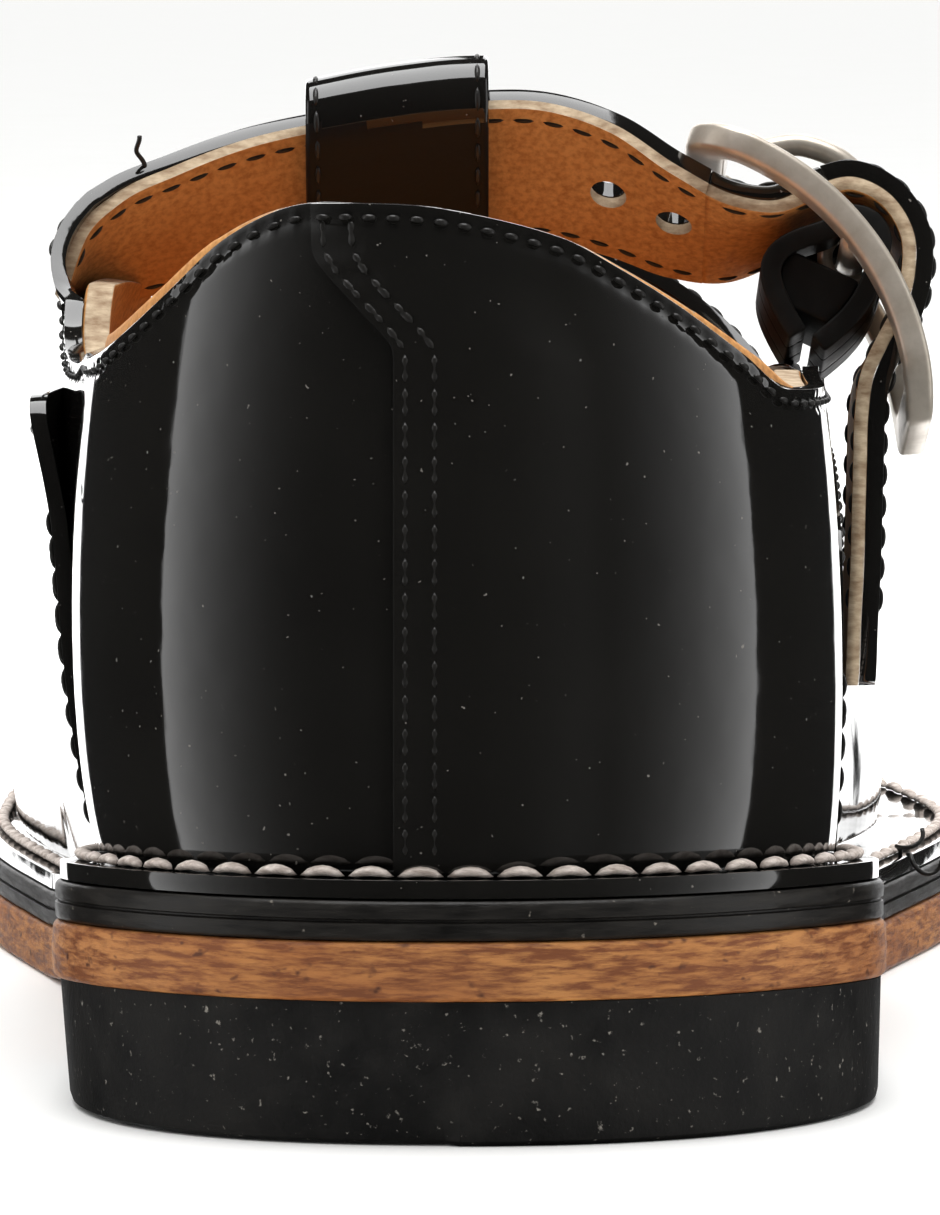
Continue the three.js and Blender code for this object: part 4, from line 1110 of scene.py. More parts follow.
def build_lateral_quarter():
    """Lateral quarter: the last's surface from flange to topline. Its rear edge laps over the
    medial quarter in a straight seam that turns off to a tail at the topline, held by two
    rows of stitches."""
    columns, rows = 260, 110
    share = np.linspace(0, 1, FINE)
    probe = np.linspace(-0.16, 0.02, 240)
    probe_top = upper_tops(probe, UPPER_WALL + LAP)
    seen = last(probe[:, None], share[None, :] * probe_top[:, None], UPPER_WALL + LAP)
    height = seen[len(probe) // 2 + 60, :, 2]
    edge_x = np.interp(height, [0, 51.5, 56.0, 57.2, 70], [-4.35, -4.35, -8.6, -9.6, -10.2])
    w_start = np.array([np.interp(edge_x[f], seen[:, f, 0], probe) for f in range(FINE)])
    w_front = float(station_of(FRONT_AT))
    even = np.concatenate([[w_start[0]], even_stations(columns, 0.0005, w_front)])
    fade = (1 - np.linspace(0, 1, len(even))) ** 9
    w = even[:, None] + (w_start - w_start[0])[None, :] * fade[:, None]
    lap = LAP * (1 - ease((even - 0.0) / 0.06))
    offset = UPPER_WALL + lap
    top = upper_tops(w[:, -1], offset)
    outer = wall_grid(w, top, offset, rows)
    inside = offset - LEATHER_WALL + 0.08
    inner = wall_grid(w, upper_tops(w[:, -1], inside), inside, rows, 0.02)
    line, up = stitch_points_below(outer, 0.95)
    holes = [stitch_row(line, up, panel_mm("topline_pitch"), 0.66)]
    rear = outer.transpose(1, 0, 2)[:, ::-1]
    for inset in (0.75, 2.65):
        row, normal = stitch_points_below(rear, inset)
        normal = -normal
        keep = row[:, 2] > feather(0.0) + 2.4
        holes.append(stitch_row(row[keep][:-2], normal[keep][:-2], panel_mm("stitch_pitch")))
    pits = np.concatenate([np.concatenate([h[0], h[1]]) for h in holes])
    outer = dimples(outer, grid_normals(outer), pits, 0.26, 0.5)
    piece = shell("quarter_lateral_patent", outer, inner, material("black_patent_leather"))
    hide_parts("quarter_lateral")
    for name, row, size in zip(("topline_stitches_lateral", "back_seam_stitches_1", "back_seam_stitches_2"),
                               holes, (0.21, 0.3, 0.3)):
        capsules(name, *row, size, size * 0.75, material("black_waxed_thread"))


def wing_flare(grid):
    """How far the medial wing's corner stands off the quarter: a bell curve about the corner."""
    return 2.3 * np.exp(-((grid[..., 1:2] - 46) / 5.5) ** 2 - ((grid[..., 2:3] - 47) / 7.0) ** 2)


def build_vamp():
    """Vamp with its two wings: the last's surface in front of the wings' rear edges and below
    the throat, standing one leather's thickness proud where it laps over the quarters. The
    two halves meet on the ridge of the last."""
    rows = 100
    u = np.concatenate([even_stations(72, station_of(45.2), station_of(82))[:-1],
                        even_stations(70, station_of(82), station_of(108))[:-1],
                        even_stations(80, station_of(108), 1.0)])
    y = SOLE_LENGTH * (1 - np.cos(np.pi * u)) / 2
    proud = LAP * (1 - ease((y - 92) / 14))
    offset = UPPER_WALL + proud
    grids = []
    for side in (-1, 1):
        w = side * u
        top = crossing(w, beyond_vamp, offset[:, None])
        top_in = crossing(w, beyond_vamp, (offset - LEATHER_WALL + 0.06)[:, None])
        outer = wall_grid(w, top, offset, rows)
        inner = wall_grid(w, np.where(top >= 1, 1.0, top_in), offset - LEATHER_WALL + 0.06, rows, 0.02)
        if side < 0:
            lift = wing_flare(outer)
            direction = np.array([-0.93, -0.3, 0.2])
            outer, inner = outer + lift * direction, inner + lift * direction
        grids.append((outer, inner))
    stitched = []
    for side, (outer, inner) in zip((-1, 1), grids):
        edge_top = int(np.argmax(y > 88))
        rear = outer[:40].transpose(1, 0, 2)[:, ::-1]
        rows_found = []
        for inset in (0.9, 2.6):
            line, up = stitch_points_below(outer[8:edge_top + 30], inset)
            row, normal = stitch_points_below(rear, inset)
            keep = (row[:, 2] > feather(45.0) + 3) & (np.arange(len(row)) < len(row) - 8)
            rows_found.append((line, -up if side < 0 else up))
            rows_found.append((row[keep], normal[keep]))
        for line, up in rows_found:
            centre = np.array([0, 90, 10.0])
            flip = np.where(np.sum(up * (line - centre) * [1, 0, 0.2], axis=1, keepdims=True) < 0, -1, 1)
            stitched.append((side, stitch_row(line, up * flip, panel_mm("stitch_pitch"))))
    points, faces, base = [], [], 0
    for side, (outer, inner) in zip((-1, 1), grids):
        c, r = outer.shape[:2]
        far = c * r
        block = [grid_faces(c, r), grid_faces(c, r)[:, ::-1] + far]
        j, i = np.arange(r - 1), np.arange(c - 1)
        block.append(np.stack([j, j + far, j + 1 + far, j + 1], axis=1))
        a, b = i * r, (i + 1) * r
        block.append(np.stack([a, a + far, b + far, b], axis=1)[:, ::-1])
        open_top = np.array([k for k in i if min(outer[k, -1, 1], outer[k + 1, -1, 1]) < 100.98])
        a, b = open_top * r + r - 1, (open_top + 1) * r + r - 1
        block.append(np.stack([a, a + far, b + far, b], axis=1))
        block = np.concatenate(block) + base
        faces.append(block if side > 0 else block[:, ::-1])
        points += [outer.reshape(-1, 3), inner.reshape(-1, 3)]
        base += 2 * far
    piece = new_piece("vamp_patent", np.concatenate(points), np.concatenate(faces),
                      material("black_patent_leather"))
    clean(piece, 8e-6, recalculate=True)
    round_edges(piece)
    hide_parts("vamp")
    for side, name in ((-1, "wing_stitches_medial"), (1, "wing_stitches_lateral")):
        rows_here = [s for made, s in stitched if made == side]
        starts, ends, normals = (np.concatenate([s[k] for s in rows_here]) for k in range(3))
        capsules(name, starts, ends, normals, 0.21, 0.15, material("black_waxed_thread"))


def punch(piece):
    """Cuts the strap's two punched holes: cylinders square to the strap."""
    lean = math.radians(47)
    drill = np.array([0, math.cos(lean), math.sin(lean)])
    for k, (x, z) in enumerate(STRAP_HOLES):
        centre = np.array([x, 75.0, z])
        rod = rod_points(np.stack([centre - drill * 6, centre + drill * 6]), HOLE_RADIUS, 20)
        cutter = new_piece(f"punch_{k + 1}", rod[0].reshape(-1, 3), rod[1],
                           material("raw_leather_edge"), None)
        cut(piece, clean(cutter, recalculate=True))
    piece.data.polygons.foreach_set("use_smooth", [True] * len(piece.data.polygons))
    return mark_corners(piece, 50)


def build_linings():
    """Linings: the last's own surface. The quarters' lining fills out to the leather near the
    topline, where the two are stitched together."""
    for side, node in ((-1, "quarter_lining_medial"), (1, "quarter_lining_lateral")):
        u = np.concatenate([even_stations(150, 0.0, station_of(97))])
        w = side * u
        if side < 0:
            w = w[::-1]
        top_in = upper_tops(w, 0.0)
        top_out = upper_tops(w, LINING_WALL)
        inner = wall_grid(w, top_in, 0.0, 60, foot=False)
        outer = wall_grid(w, top_out, LINING_WALL, 60, foot=False)
        share = np.linspace(0, 1, 60)[None, :, None]
        swell = (LEATHER_IN - LINING_WALL - 0.06) * ease((share - 0.86) / 0.1)
        outer = outer + last_normal(w[:, None], share[..., 0] * top_out[:, None], LINING_WALL) * swell
        inner[:, -1, 2] -= 0.25
        outer[:, -1, 2] -= 0.35
        piece = shell(node + "_leather", outer, inner, material("tan_lining_leather"), edge=0.2,
                      rim_material=material("raw_leather_edge"))
        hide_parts(node)


def build_loose_threads():
    """Loose ends left by the closer: short curls of black thread, each a helix that tightens
    to its tip."""
    spots = [((33.4, 113.0, 7.9), (0.2, -0.5, 0.8), 3.2, 1.4),
             ((33.9, 112.0, 8.0), (0.6, -0.7, 0.1), 3.0, 1.2),
             ((-32.6, 46.5, 41.0), (-0.8, -0.3, -0.5), 2.6, 0.6),
             ((-32.3, 46.8, 40.4), (-0.9, -0.3, 0.1), 1.8, 0.5),
             ((-22.6, 70.0, 61.4), (-0.2, -0.3, 0.95), 2.4, 0.4)]
    points, faces, base = [], [], 0
    t = np.linspace(0, 1, 22)
    for start, way, length, curl in spots:
        way = unit(np.array(way))
        side = unit(np.cross(way, [0.3, 0.2, 1.0]))
        up = np.cross(side, way)
        turn = t * 5.5
        path = (np.array(start) + way * (t * length)[:, None] + side * (curl * t * np.sin(turn))[:, None]
                + up * (curl * t * (np.cos(turn) - 1))[:, None])
        rod = rod_points(path, 0.17, 8)
        points.append(rod[0].reshape(-1, 3))
        faces += [tuple(int(i) + base for i in f) for f in rod[1]]
        base += len(points[-1])
    piece = new_piece("loose_thread_ends", np.concatenate(points), faces, material("black_waxed_thread"))
    clean(piece, 1e-7, recalculate=True)


def strap_run(label, rows, half, stop, nodes):
    """A length of the strap with its lining and its stitches: ribbons of the strap's own line
    between two of its rows, as wide as half says on each side. nodes names the frame's pieces
    that it stands in for, which it hides."""
    middle, across, out = (part[rows] for part in strap_frame(STRAP_ROWS))
    place = np.linspace(1, -1, 34)
    for layer, low, high, node, leather, slot_name in (
            ("patent", 0.0, 1.2, nodes[0], "black_patent_leather", "patent_leather"),
            ("lining", -0.97, -0.03, nodes[1], "tan_lining_leather", "lining_leather")):
        grids = []
        for level, crown in ((high, 0.18), (low, 0.09)):
            lift = level + crown * (1 - place ** 2) if high > 0 else np.full_like(place, level)
            grids.append(middle[None, :, :] + across[None, :, :] * (place[:, None] * half[None, :])[..., None]
                         + out[None, :, :] * lift[:, None, None])
        piece = shell(f"{label}_{layer}", grids[0], grids[1], material(leather), body=None,
                      edge=0.2 if high > 0 else 0,
                      rim_material=None if high > 0 else material("raw_leather_edge"))
        apply_modifiers(piece)
        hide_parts(node)
        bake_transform(piece)
        face, sign, size, share = (grids[0], 1, 0.2, 0.82) if high > 0 else (grids[1], -1, 0.17, 0.7)
        normals = sign * grid_normals(face)
        for edge, column in (("front", 2), ("rear", -3)):
            row = stitch_row(face[column, 2:stop], normals[column, 2:stop], panel_mm("stitch_pitch"), share)
            thread = capsules(f"{label}_{layer}_stitches_{edge}", *row, size, size * 0.6,
                              material("black_waxed_thread"), body=None)
            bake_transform(thread)


def build_strap_bridge():
    """Strap between the buckle's medial end and its bar."""
    start, end = strap_parts()[3:]
    half = np.full(end + 1 - start, STRAP_WIDTH / 2)
    strap_run("strap_bridge", slice(start, end + 1), half, -1,
              ("instep_strap", "strap_lining"))


def build_strap_end():
    """Free end of the strap: past the buckle's bar it comes down outside and tapers to a round
    tip, by a circle's root law."""
    middle, _, _, _, start = strap_parts()
    left = (np.linalg.norm(middle[start:] - middle[-1], axis=1) + 0.15) / 6.0
    half = STRAP_WIDTH / 2 * np.sqrt(np.clip(left, 0, 1) * (2 - np.clip(left, 0, 1)))
    strap_run("strap_end", slice(start, None), half, -14,
              ("strap_tail", "strap_tail_lining"))


def build_strap_lining():
    """Lining of the strap: the same ribbon, one leather further in, showing its pale cut edge."""
    middle, across, out, k, _ = strap_parts()
    middle, across, out = middle[3:k + 1], across[3:k + 1], out[3:k + 1]
    place = np.linspace(1, -1, 24)
    grids = []
    for level in (-0.03, -0.97):
        grids.append(middle[None] + across[None] * (place[:, None, None] * (STRAP_WIDTH / 2 + 0.05))
                     + out[None] * level)
    piece = shell("strap_lining_leather", grids[0], grids[1], material("tan_lining_leather"),
                  body=None, edge=0, rim_material=material("raw_leather_edge"))
    punch(apply_modifiers(piece))
    press_with_buckle(piece)
    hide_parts("strap_lining")
    normals = -grid_normals(grids[1])
    for label, column in (("front", 2), ("rear", -3)):
        row = stitch_row(grids[1][column, 4:-1], normals[column, 4:-1], panel_mm("stitch_pitch"), 0.7)
        press_with_buckle(capsules("strap_lining_stitches_" + label, *row, 0.17, 0.06,
                                   material("black_waxed_thread"), body=None))


def build_t_bar():
    """T-bar: a band up from the throat, over the strap, round behind it and down inside, its
    path a smooth curve and its top following the strap's own arch."""
    path = [[100.4, 52.6], [95, 54.6], [88, 57.2], [83.4, 59.0], [80.9, 60.2], [77.6, 63.2], [74.7, 66.2],
            [72.4, 67.7], [70.2, 68], [68.5, 66.8], [68, 64.9], [69.3, 62.6], [73, 58], [76.6, 54],
            [80.4, 52.9], [84, 54.2], [88, 54.2]]
    line = along([[0.0, y, z] for y, z in path], 150)[:, 1:]
    rise_x, _, _ = strap_frame(STRAP_ROWS)
    top = rise_x[:150]
    place = np.linspace(-1, 1, 34)
    x = T_BAR_CENTRE + T_BAR_WIDTH / 2 * place
    lift = np.interp(x, top[:, 0], top[:, 2]) - np.interp(T_BAR_CENTRE, top[:, 0], top[:, 2])
    follow = 1 - ease((line[:, 0] - 84) / 14)
    grid = np.empty((150, 34, 3))
    grid[..., 0] = x[None, :]
    grid[..., 1] = line[:, 0][:, None]
    grid[..., 2] = line[:, 1][:, None] + follow[:, None] * lift[None, :]
    crown = 0.12 * (1 - place ** 2)
    normals = grid_normals(grid)
    normals = normals * np.where(normals[:20, :, 2].mean() < 0, -1.0, 1.0)
    outer = grid + normals * (0.6 + crown[None, :, None])
    inner = grid - normals * 0.6
    piece = shell("t_bar_patent", outer, inner, material("black_patent_leather"), edge=0.28)
    piece.data.materials.append(material("black_glazed_leather"))
    turned = to_frame([0, 77.5, 64.4])
    centres = np.empty(3 * len(piece.data.polygons), np.float32)
    piece.data.polygons.foreach_get("center", centres)
    centres = centres.reshape(-1, 3)
    inside = (centres[:, 1] < turned[1]) & (centres[:, 2] < turned[2])
    piece.data.polygons.foreach_set("material_index", inside.astype(np.int32))
    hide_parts("t_bar")
    for label, column in (("medial", 2), ("lateral", -3)):
        row = stitch_row(outer[4:110, column], normals[4:110, column], panel_mm("stitch_pitch"))
        capsules("t_bar_stitches_" + label, *row, panel_mm("stitch_radius"), 0.13,
                 material("black_waxed_thread"))
    k = int(np.argmin(np.abs(line[:60, 0] - 80.5)))
    cross_row = stitch_row(outer[k, 2:-2], normals[k, 2:-2], 2.3)
    capsules("t_bar_stitches_loop", *cross_row, 0.3, 0.24, material("black_waxed_thread"))


# ------------------------------------------------------------------ buckle

def buckle_axes():
    """The buckle's own directions: out from its arc at the bar, across the shoe's length, and
    along the arc to its medial end."""
    m, t = math.radians(BUCKLE["middle"]), math.radians(BUCKLE["tilt"])
    out = np.array([math.cos(m), 0, math.sin(m)])
    width = np.array([0, math.cos(t), -math.sin(t)])
    forward = unit(np.cross(out, width))
    return unit(np.cross(width, forward)), width, forward


def in_buckle(points):
    out, width, forward = buckle_axes()
    p = np.asarray(points, float)
    return BAR_AT + p[..., 0:1] * out + p[..., 1:2] * width + p[..., 2:3] * forward


def build_buckle():
    """Buckle: a rounded rectangle bent to an arc about the instep, its section a flattened
    superellipse, with a round bar across its middle."""
    r = BUCKLE["radius"] - BUCKLE["wall"] / 2
    reach = r * math.radians(BUCKLE["half_angle"]) - BUCKLE["end_bar"] / 2
    half = BUCKLE["width"] / 2 - BUCKLE["rail"] / 2
    corner = 3.0
    turn = np.linspace(0, np.pi / 2, 12)
    quarter = np.stack([np.sin(turn), np.cos(turn)], axis=1) * corner
    corners = []
    for sz, sy, flip in ((1, 1, False), (1, -1, True), (-1, -1, False), (-1, 1, True)):
        q = np.array([reach - corner, half - corner]) + quarter
        q = q[::-1] if flip else q
        corners.append(q * [sz, sy])
    outline = np.concatenate(corners + [corners[0][:1]])
    d = np.concatenate([[0], np.cumsum(np.linalg.norm(np.diff(outline, axis=0), axis=1))])
    even = np.linspace(0, d[-1], 241)[:-1]
    arc = np.interp(even, d, outline[:, 0])
    y = np.interp(even, d, outline[:, 1])
    angle = arc / r
    centre = np.stack([r * np.cos(angle) - r, y, r * np.sin(angle)], axis=1)
    out = np.stack([np.cos(angle), np.zeros_like(angle), np.sin(angle)], axis=1)
    forward = unit(np.roll(centre, -1, axis=0) - np.roll(centre, 1, axis=0))
    across = unit(np.cross(out, forward))
    t = np.arange(28) / 28 * 2 * np.pi
    power = 2 / 5.5
    cx = np.sign(np.cos(t)) * np.abs(np.cos(t)) ** power
    cy = np.sign(np.sin(t)) * np.abs(np.sin(t)) ** power
    profile = np.stack([cx * BUCKLE["rail"] / 2, cy * (0.94 + 0.1 * (cy > 0) * np.abs(np.sin(t)))], axis=1)
    points = centre[:, None] + across[:, None] * profile[None, :, :1] + out[:, None] * profile[None, :, 1:]
    faces = grid_faces(len(centre), len(profile), True, True)
    piece = new_piece("buckle_frame_nickel", in_buckle(points).reshape(-1, 3), faces,
                      material("satin_nickel_plate"), "buckle")
    clean(piece, recalculate=True)
    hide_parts("buckle_frame")
    rod = rod_points(np.array([[0, -half, 0], [0, half, 0]], float), BUCKLE["bar"], 20)
    bar = new_piece("buckle_bar_nickel", in_buckle(rod[0]).reshape(-1, 3), rod[1],
                    material("satin_nickel_plate"), "buckle")
    clean(bar, recalculate=True)


def rod_points(path, radius, sides, taper=None):
    """Round rod along a path, closed at both ends: rings square to the path's direction."""
    path = np.asarray(path, float)
    forward = unit(np.gradient(path, axis=0))
    guide = np.array([0.0, 1.0, 0.0]) if abs(forward[0, 1]) < 0.9 else np.array([1.0, 0.0, 0.0])
    side = unit(np.cross(forward, guide))
    up = unit(np.cross(side, forward))
    a = np.arange(sides) / sides * 2 * np.pi
    size = radius * (np.ones(len(path)) if taper is None else taper)
    ring = side[:, None] * np.cos(a)[None, :, None] + up[:, None] * np.sin(a)[None, :, None]
    points = path[:, None] + ring * size[:, None, None]
    count = len(path)
    faces = [tuple(f) for f in grid_faces(count, sides, False, True)]
    faces += [tuple(range(sides))[::-1], tuple((count - 1) * sides + k for k in range(sides))]
    return points, faces


def build_prong():
    """Prong: a ring round the bar and a rod that leaves it, bows outwards and lies over the
    buckle's medial end, its tip rounded off."""
    r = BUCKLE["radius"] - BUCKLE["wall"] / 2
    half_angle = math.radians(BUCKLE["half_angle"])
    reach, drop = r * math.sin(half_angle), r * (1 - math.cos(half_angle))
    over = BUCKLE["wall"] / 2 + 0.35 + 0.8
    eye_out = BUCKLE["bar"] + 0.35 + 1.1
    path = [[eye_out - 0.5, 0, 0.6], [eye_out + 1.2, 0, 2.6], [eye_out + 1.6, 0, 5.4], [2.6, 0, 8.4],
            [over - drop + 1.4, 0, reach - 2], [over - drop + 0.4, 0, reach + 0.6]]
    line = along(path, 60)
    taper = np.clip(np.sqrt(np.clip((60 - np.arange(60)) / 5, 0, 1)), 0.15, 1)
    rod = rod_points(line, 0.8, 18, taper)
    piece = new_piece("buckle_prong_nickel", in_buckle(rod[0]).reshape(-1, 3), rod[1],
                      material("satin_nickel_plate"), "prong")
    clean(piece, recalculate=True)
    t = np.arange(40) / 40 * 2 * np.pi
    a = np.arange(14) / 14 * 2 * np.pi
    ring_radius = BUCKLE["bar"] + 0.35 + 0.55
    rr = ring_radius + 0.55 * np.cos(a)
    points = np.stack([np.cos(t)[:, None] * rr[None], np.repeat(1.15 * np.sin(a)[None], 40, axis=0),
                       np.sin(t)[:, None] * rr[None]], axis=-1)
    eye = new_piece("buckle_prong_eye", in_buckle(points).reshape(-1, 3), grid_faces(40, 14, True, True),
                    material("satin_nickel_plate"), "prong")
    clean(eye, recalculate=True)
    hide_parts("buckle_prong")


def build_chape():
    """Chape: a band of leather folded round the buckle's bar and stitched to the quarter, with
    a gap in its fold for the prong."""
    out, _, forward = buckle_axes()
    foot = np.array([24.6, 75.0, SIDE_HEIGHT - 1.0]) - BAR_AT
    foot = np.array([foot @ out, foot @ forward])
    toward = math.atan2(foot[1], foot[0])
    radius = BUCKLE["bar"] + 0.35 + 0.6
    angles = np.linspace(toward + np.pi / 2, toward - np.pi / 2 + 2 * np.pi, 40)
    loop = np.stack([np.cos(angles), np.sin(angles)], axis=1) * radius
    across = np.array([-math.sin(toward), math.cos(toward)]) * 0.8
    bow = np.sin(np.linspace(0, np.pi, 24))[:, None] * np.array([[-math.sin(toward), math.cos(toward)]])
    legs_a = (np.linspace(foot + across, loop[0], 24) + bow * 0.9)[:-1]
    legs_b = (np.linspace(loop[-1], foot - across, 24) - bow * 3.3)[1:]
    path = np.concatenate([legs_a, loop, legs_b])
    line = np.stack([path[:, 0], np.zeros(len(path)), path[:, 1]], axis=1)
    line = soften(line[None].copy(), 3)[0]
    direction = unit(np.gradient(line, axis=0))
    normal = unit(np.cross(direction, np.array([0, 1.0, 0])))
    for label, y_from, y_to, rows in (("front", 2.2, 6.0, slice(None)), ("rear", -6.0, -2.2, slice(None)),
                                      ("outer_leg", -2.25, 2.25, slice(0, 17)),
                                      ("inner_leg", -2.25, 2.25, slice(-17, None))):
        y = np.linspace(y_from, y_to, 8)
        mid = line[rows][:, None] + np.stack([np.zeros(8), y, np.zeros(8)], axis=1)[None]
        n = normal[rows][:, None]
        piece = shell("buckle_chape_" + label, in_buckle(mid + n * 0.75), in_buckle(mid - n * 0.75),
                      material("black_glazed_leather"), edge=0.2)
        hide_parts("buckle_chape")
    low, high = legs_a[5:17], legs_b[::-1][5:17]
    clear = unit(high - low) * 0.82
    share = np.linspace(0, 1, 8)[None, :, None]
    web = (low + clear)[:, None] + ((high - clear) - (low + clear))[:, None] * share
    faces_of_web = [np.stack([web[..., 0], np.full(web.shape[:2], y), web[..., 1]], axis=-1)
                    for y in (5.3, -5.3)]
    piece = shell("buckle_chape_stiffener", in_buckle(faces_of_web[0]), in_buckle(faces_of_web[1]),
                  material("black_glazed_leather"), edge=0.2)
    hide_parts("buckle_chape")


def finish_hidden_nodes():
    """Gives the frame's own solids that still show a material of their own."""
    worn = {"insole_board": "pressed_fibre_board", "sock_lining": "tan_lining_leather",
            "vamp_lining": "tan_lining_leather", "heel_counter": "pressed_fibre_board",
            "toe_puff": "pressed_fibre_board"}
    for name, node in frame["nodes"].items():
        key = "dull_nail_steel" if name.startswith("heel_nail") else worn.get(name)
        if key:
            node.data.materials.clear()
            node.data.materials.append(material(key))
            node.data.polygons.foreach_set("use_smooth", [True] * len(node.data.polygons))
            mark = node.modifiers.new("edge", "BEVEL")
            mark.width = 0.12 / 1000
            mark.limit_method = "ANGLE"
            mark.angle_limit = math.radians(50)


# ------------------------------------------------------------------ stage

def area_light(name, place, target, size, power, colour="ffffff", camera=False):
    data = bpy.data.lights.new(name, "AREA")
    data.shape = "RECTANGLE"
    data.size, data.size_y = size
    data.energy = power
    data.color = srgb(colour)[:3]
    light = bpy.data.objects.new(name, data)
    light.location = place
    light.rotation_euler = (Vector(target) - Vector(place)).to_track_quat("-Z", "Y").to_euler()
    light.visible_camera = camera
    bpy.context.scene.collection.objects.link(light)
    return light


def soft_wall(name, side, radius=0.9):
    """Soft light on one side: part of an upright cylinder round the shoe, dim towards the
    camera and brighter away from it, with a narrow bright strip behind, after a dark gap."""
    parts = [(np.linspace(14, 90, 60), lambda a: 0.014 + 1.25 * ((a - 14) / 76) ** 3.4),
             (np.linspace(156, 178, 14), lambda a: 1.6 + 0 * a)]
    height = np.linspace(-0.75, 0.95, 18)
    points, faces, glow = [], [], []
    for degrees, strength in parts:
        a = np.radians(degrees)
        flat = np.stack([side * np.sin(a) * radius, -np.cos(a) * radius - 0.02], axis=1)
        grid = np.concatenate([np.repeat(flat[:, None], len(height), axis=1),
                               np.broadcast_to(height[None, :, None], (len(a), len(height), 1))], axis=2)
        quads = grid_faces(len(a), len(height)) + sum(len(p) for p in points)
        faces.append(quads if side < 0 else quads[:, ::-1])
        points.append(grid.reshape(-1, 3))
        glow.append(np.repeat(strength(degrees)[:, None], len(height), axis=1).ravel())
    mesh = bpy.data.meshes.new(name)
    mesh.from_pydata(np.concatenate(points).tolist(), [], np.concatenate(faces).tolist())
    set_attribute(mesh, "glow", np.concatenate(glow))
    lamp = bpy.data.materials.new(name + "_cloth")
    lamp.use_nodes = True
    tree = lamp.node_tree
    tree.nodes.clear()
    output = tree.nodes.new("ShaderNodeOutputMaterial")
    emission = tree.nodes.new("ShaderNodeEmission")
    glow_node = tree.nodes.new("ShaderNodeAttribute")
    glow_node.attribute_name = "glow"
    gain = tree.nodes.new("ShaderNodeMath")
    gain.operation = "MULTIPLY"
    gain.inputs[1].default_value = 1.6
    tree.links.new(glow_node.outputs["Fac"], gain.inputs[0])
    tree.links.new(gain.outputs["Value"], emission.inputs["Strength"])
    tree.links.new(emission.outputs["Emission"], output.inputs["Surface"])
    mesh.materials.append(lamp)
    panel = bpy.data.objects.new(name, mesh)
    panel.visible_camera = False
    bpy.context.scene.collection.objects.link(panel)
    return panel


def build_stage():
    """A pale floor, a camera behind the heel, and a studio of tall soft lights on both sides."""
    scene = bpy.context.scene
    size = 45.0
    mesh = bpy.data.meshes.new("floor")
    corners = [(-size, -size, 0), (size, -size, 0), (size, size, 0), (-size, size, 0)]
    mesh.from_pydata(corners, [], [(0, 1, 2, 3)])
    floor = bpy.data.objects.new("floor", mesh)
    paint = Shader("pale_studio_floor", srgb("f4f3f0"), 0.85)
    grain = paint.noise(40, 3.0)
    tone = paint.blend(grain, "Fac", srgb("f8f8f6"), srgb("fbfbfa"))
    paint.join(tone, 2, paint.surface, "Base Color")
    mesh.materials.append(paint.material)
    scene.collection.objects.link(floor)
    floor.visible_glossy = False

    for side in (-1, 1):
        soft_wall(f"soft_wall_{'left' if side < 0 else 'right'}", side)
    centre = Vector((0.0, -0.02, 0.04))
    area_light("overhead_panel", (0, 0.0, 1.3), centre, (1.0, 1.0), 16.0)

    world = bpy.data.worlds.new("studio")
    world.use_nodes = True
    tree = world.node_tree
    tree.nodes.clear()
    output = tree.nodes.new("ShaderNodeOutputWorld")
    dim, bright = tree.nodes.new("ShaderNodeBackground"), tree.nodes.new("ShaderNodeBackground")
    dim.inputs["Color"].default_value = srgb("ffffff")
    dim.inputs["Strength"].default_value = 0.015
    bright.inputs["Color"].default_value = srgb("ffffff")
    bright.inputs["Strength"].default_value = 1.12
    choose = tree.nodes.new("ShaderNodeMixShader")
    path = tree.nodes.new("ShaderNodeLightPath")
    tree.links.new(path.outputs["Is Glossy Ray"], choose.inputs["Fac"])
    tree.links.new(bright.outputs["Background"], choose.inputs[1])
    tree.links.new(dim.outputs["Background"], choose.inputs[2])
    tree.links.new(choose.outputs["Shader"], output.inputs["Surface"])
    scene.world = world

    camera_data = bpy.data.cameras.new("camera")
    camera_data.lens = 278.2
    camera_data.sensor_width = 36
    camera_data.clip_end = 20
    camera = bpy.data.objects.new("camera", camera_data)
    camera.location = to_frame([0.575, -600.0, 78.0])
    camera.rotation_euler = (math.radians(90 - 4.109), 0, 0)
    scene.collection.objects.link(camera)
    scene.camera = camera
    scene.view_settings.view_transform = "Standard"


# ------------------------------------------------------------------ add-on

def length_property(name, description, millimetres):
    return bpy.props.FloatProperty(name=name, description=description, default=millimetres / 1000,
                                   min=0.0002, max=0.05, precision=5, unit="LENGTH", subtype="DISTANCE")


def colour_property(name, description, colour):
    return bpy.props.FloatVectorProperty(name=name, description=description, default=srgb(colour)[:3],
                                         size=3, min=0.0, max=1.0, subtype="COLOR")


class ShoeSizes(bpy.types.PropertyGroup):
    """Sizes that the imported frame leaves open"""
    stitch_pitch: length_property("Stitch pitch", "Length of a stitch on strap, wings and back seam", 2.1)
    topline_pitch: length_property("Topline pitch", "Length of a stitch along the topline", 1.55)
    welt_pitch: length_property("Welt pitch", "Length of a stitch round the welt", 3.2)
    stitch_radius: length_property("Thread radius", "Half the thickness of the upper's thread", 0.2)
    welt_radius: length_property("Welt thread radius", "Half the thickness of the welt's thread", 0.5)


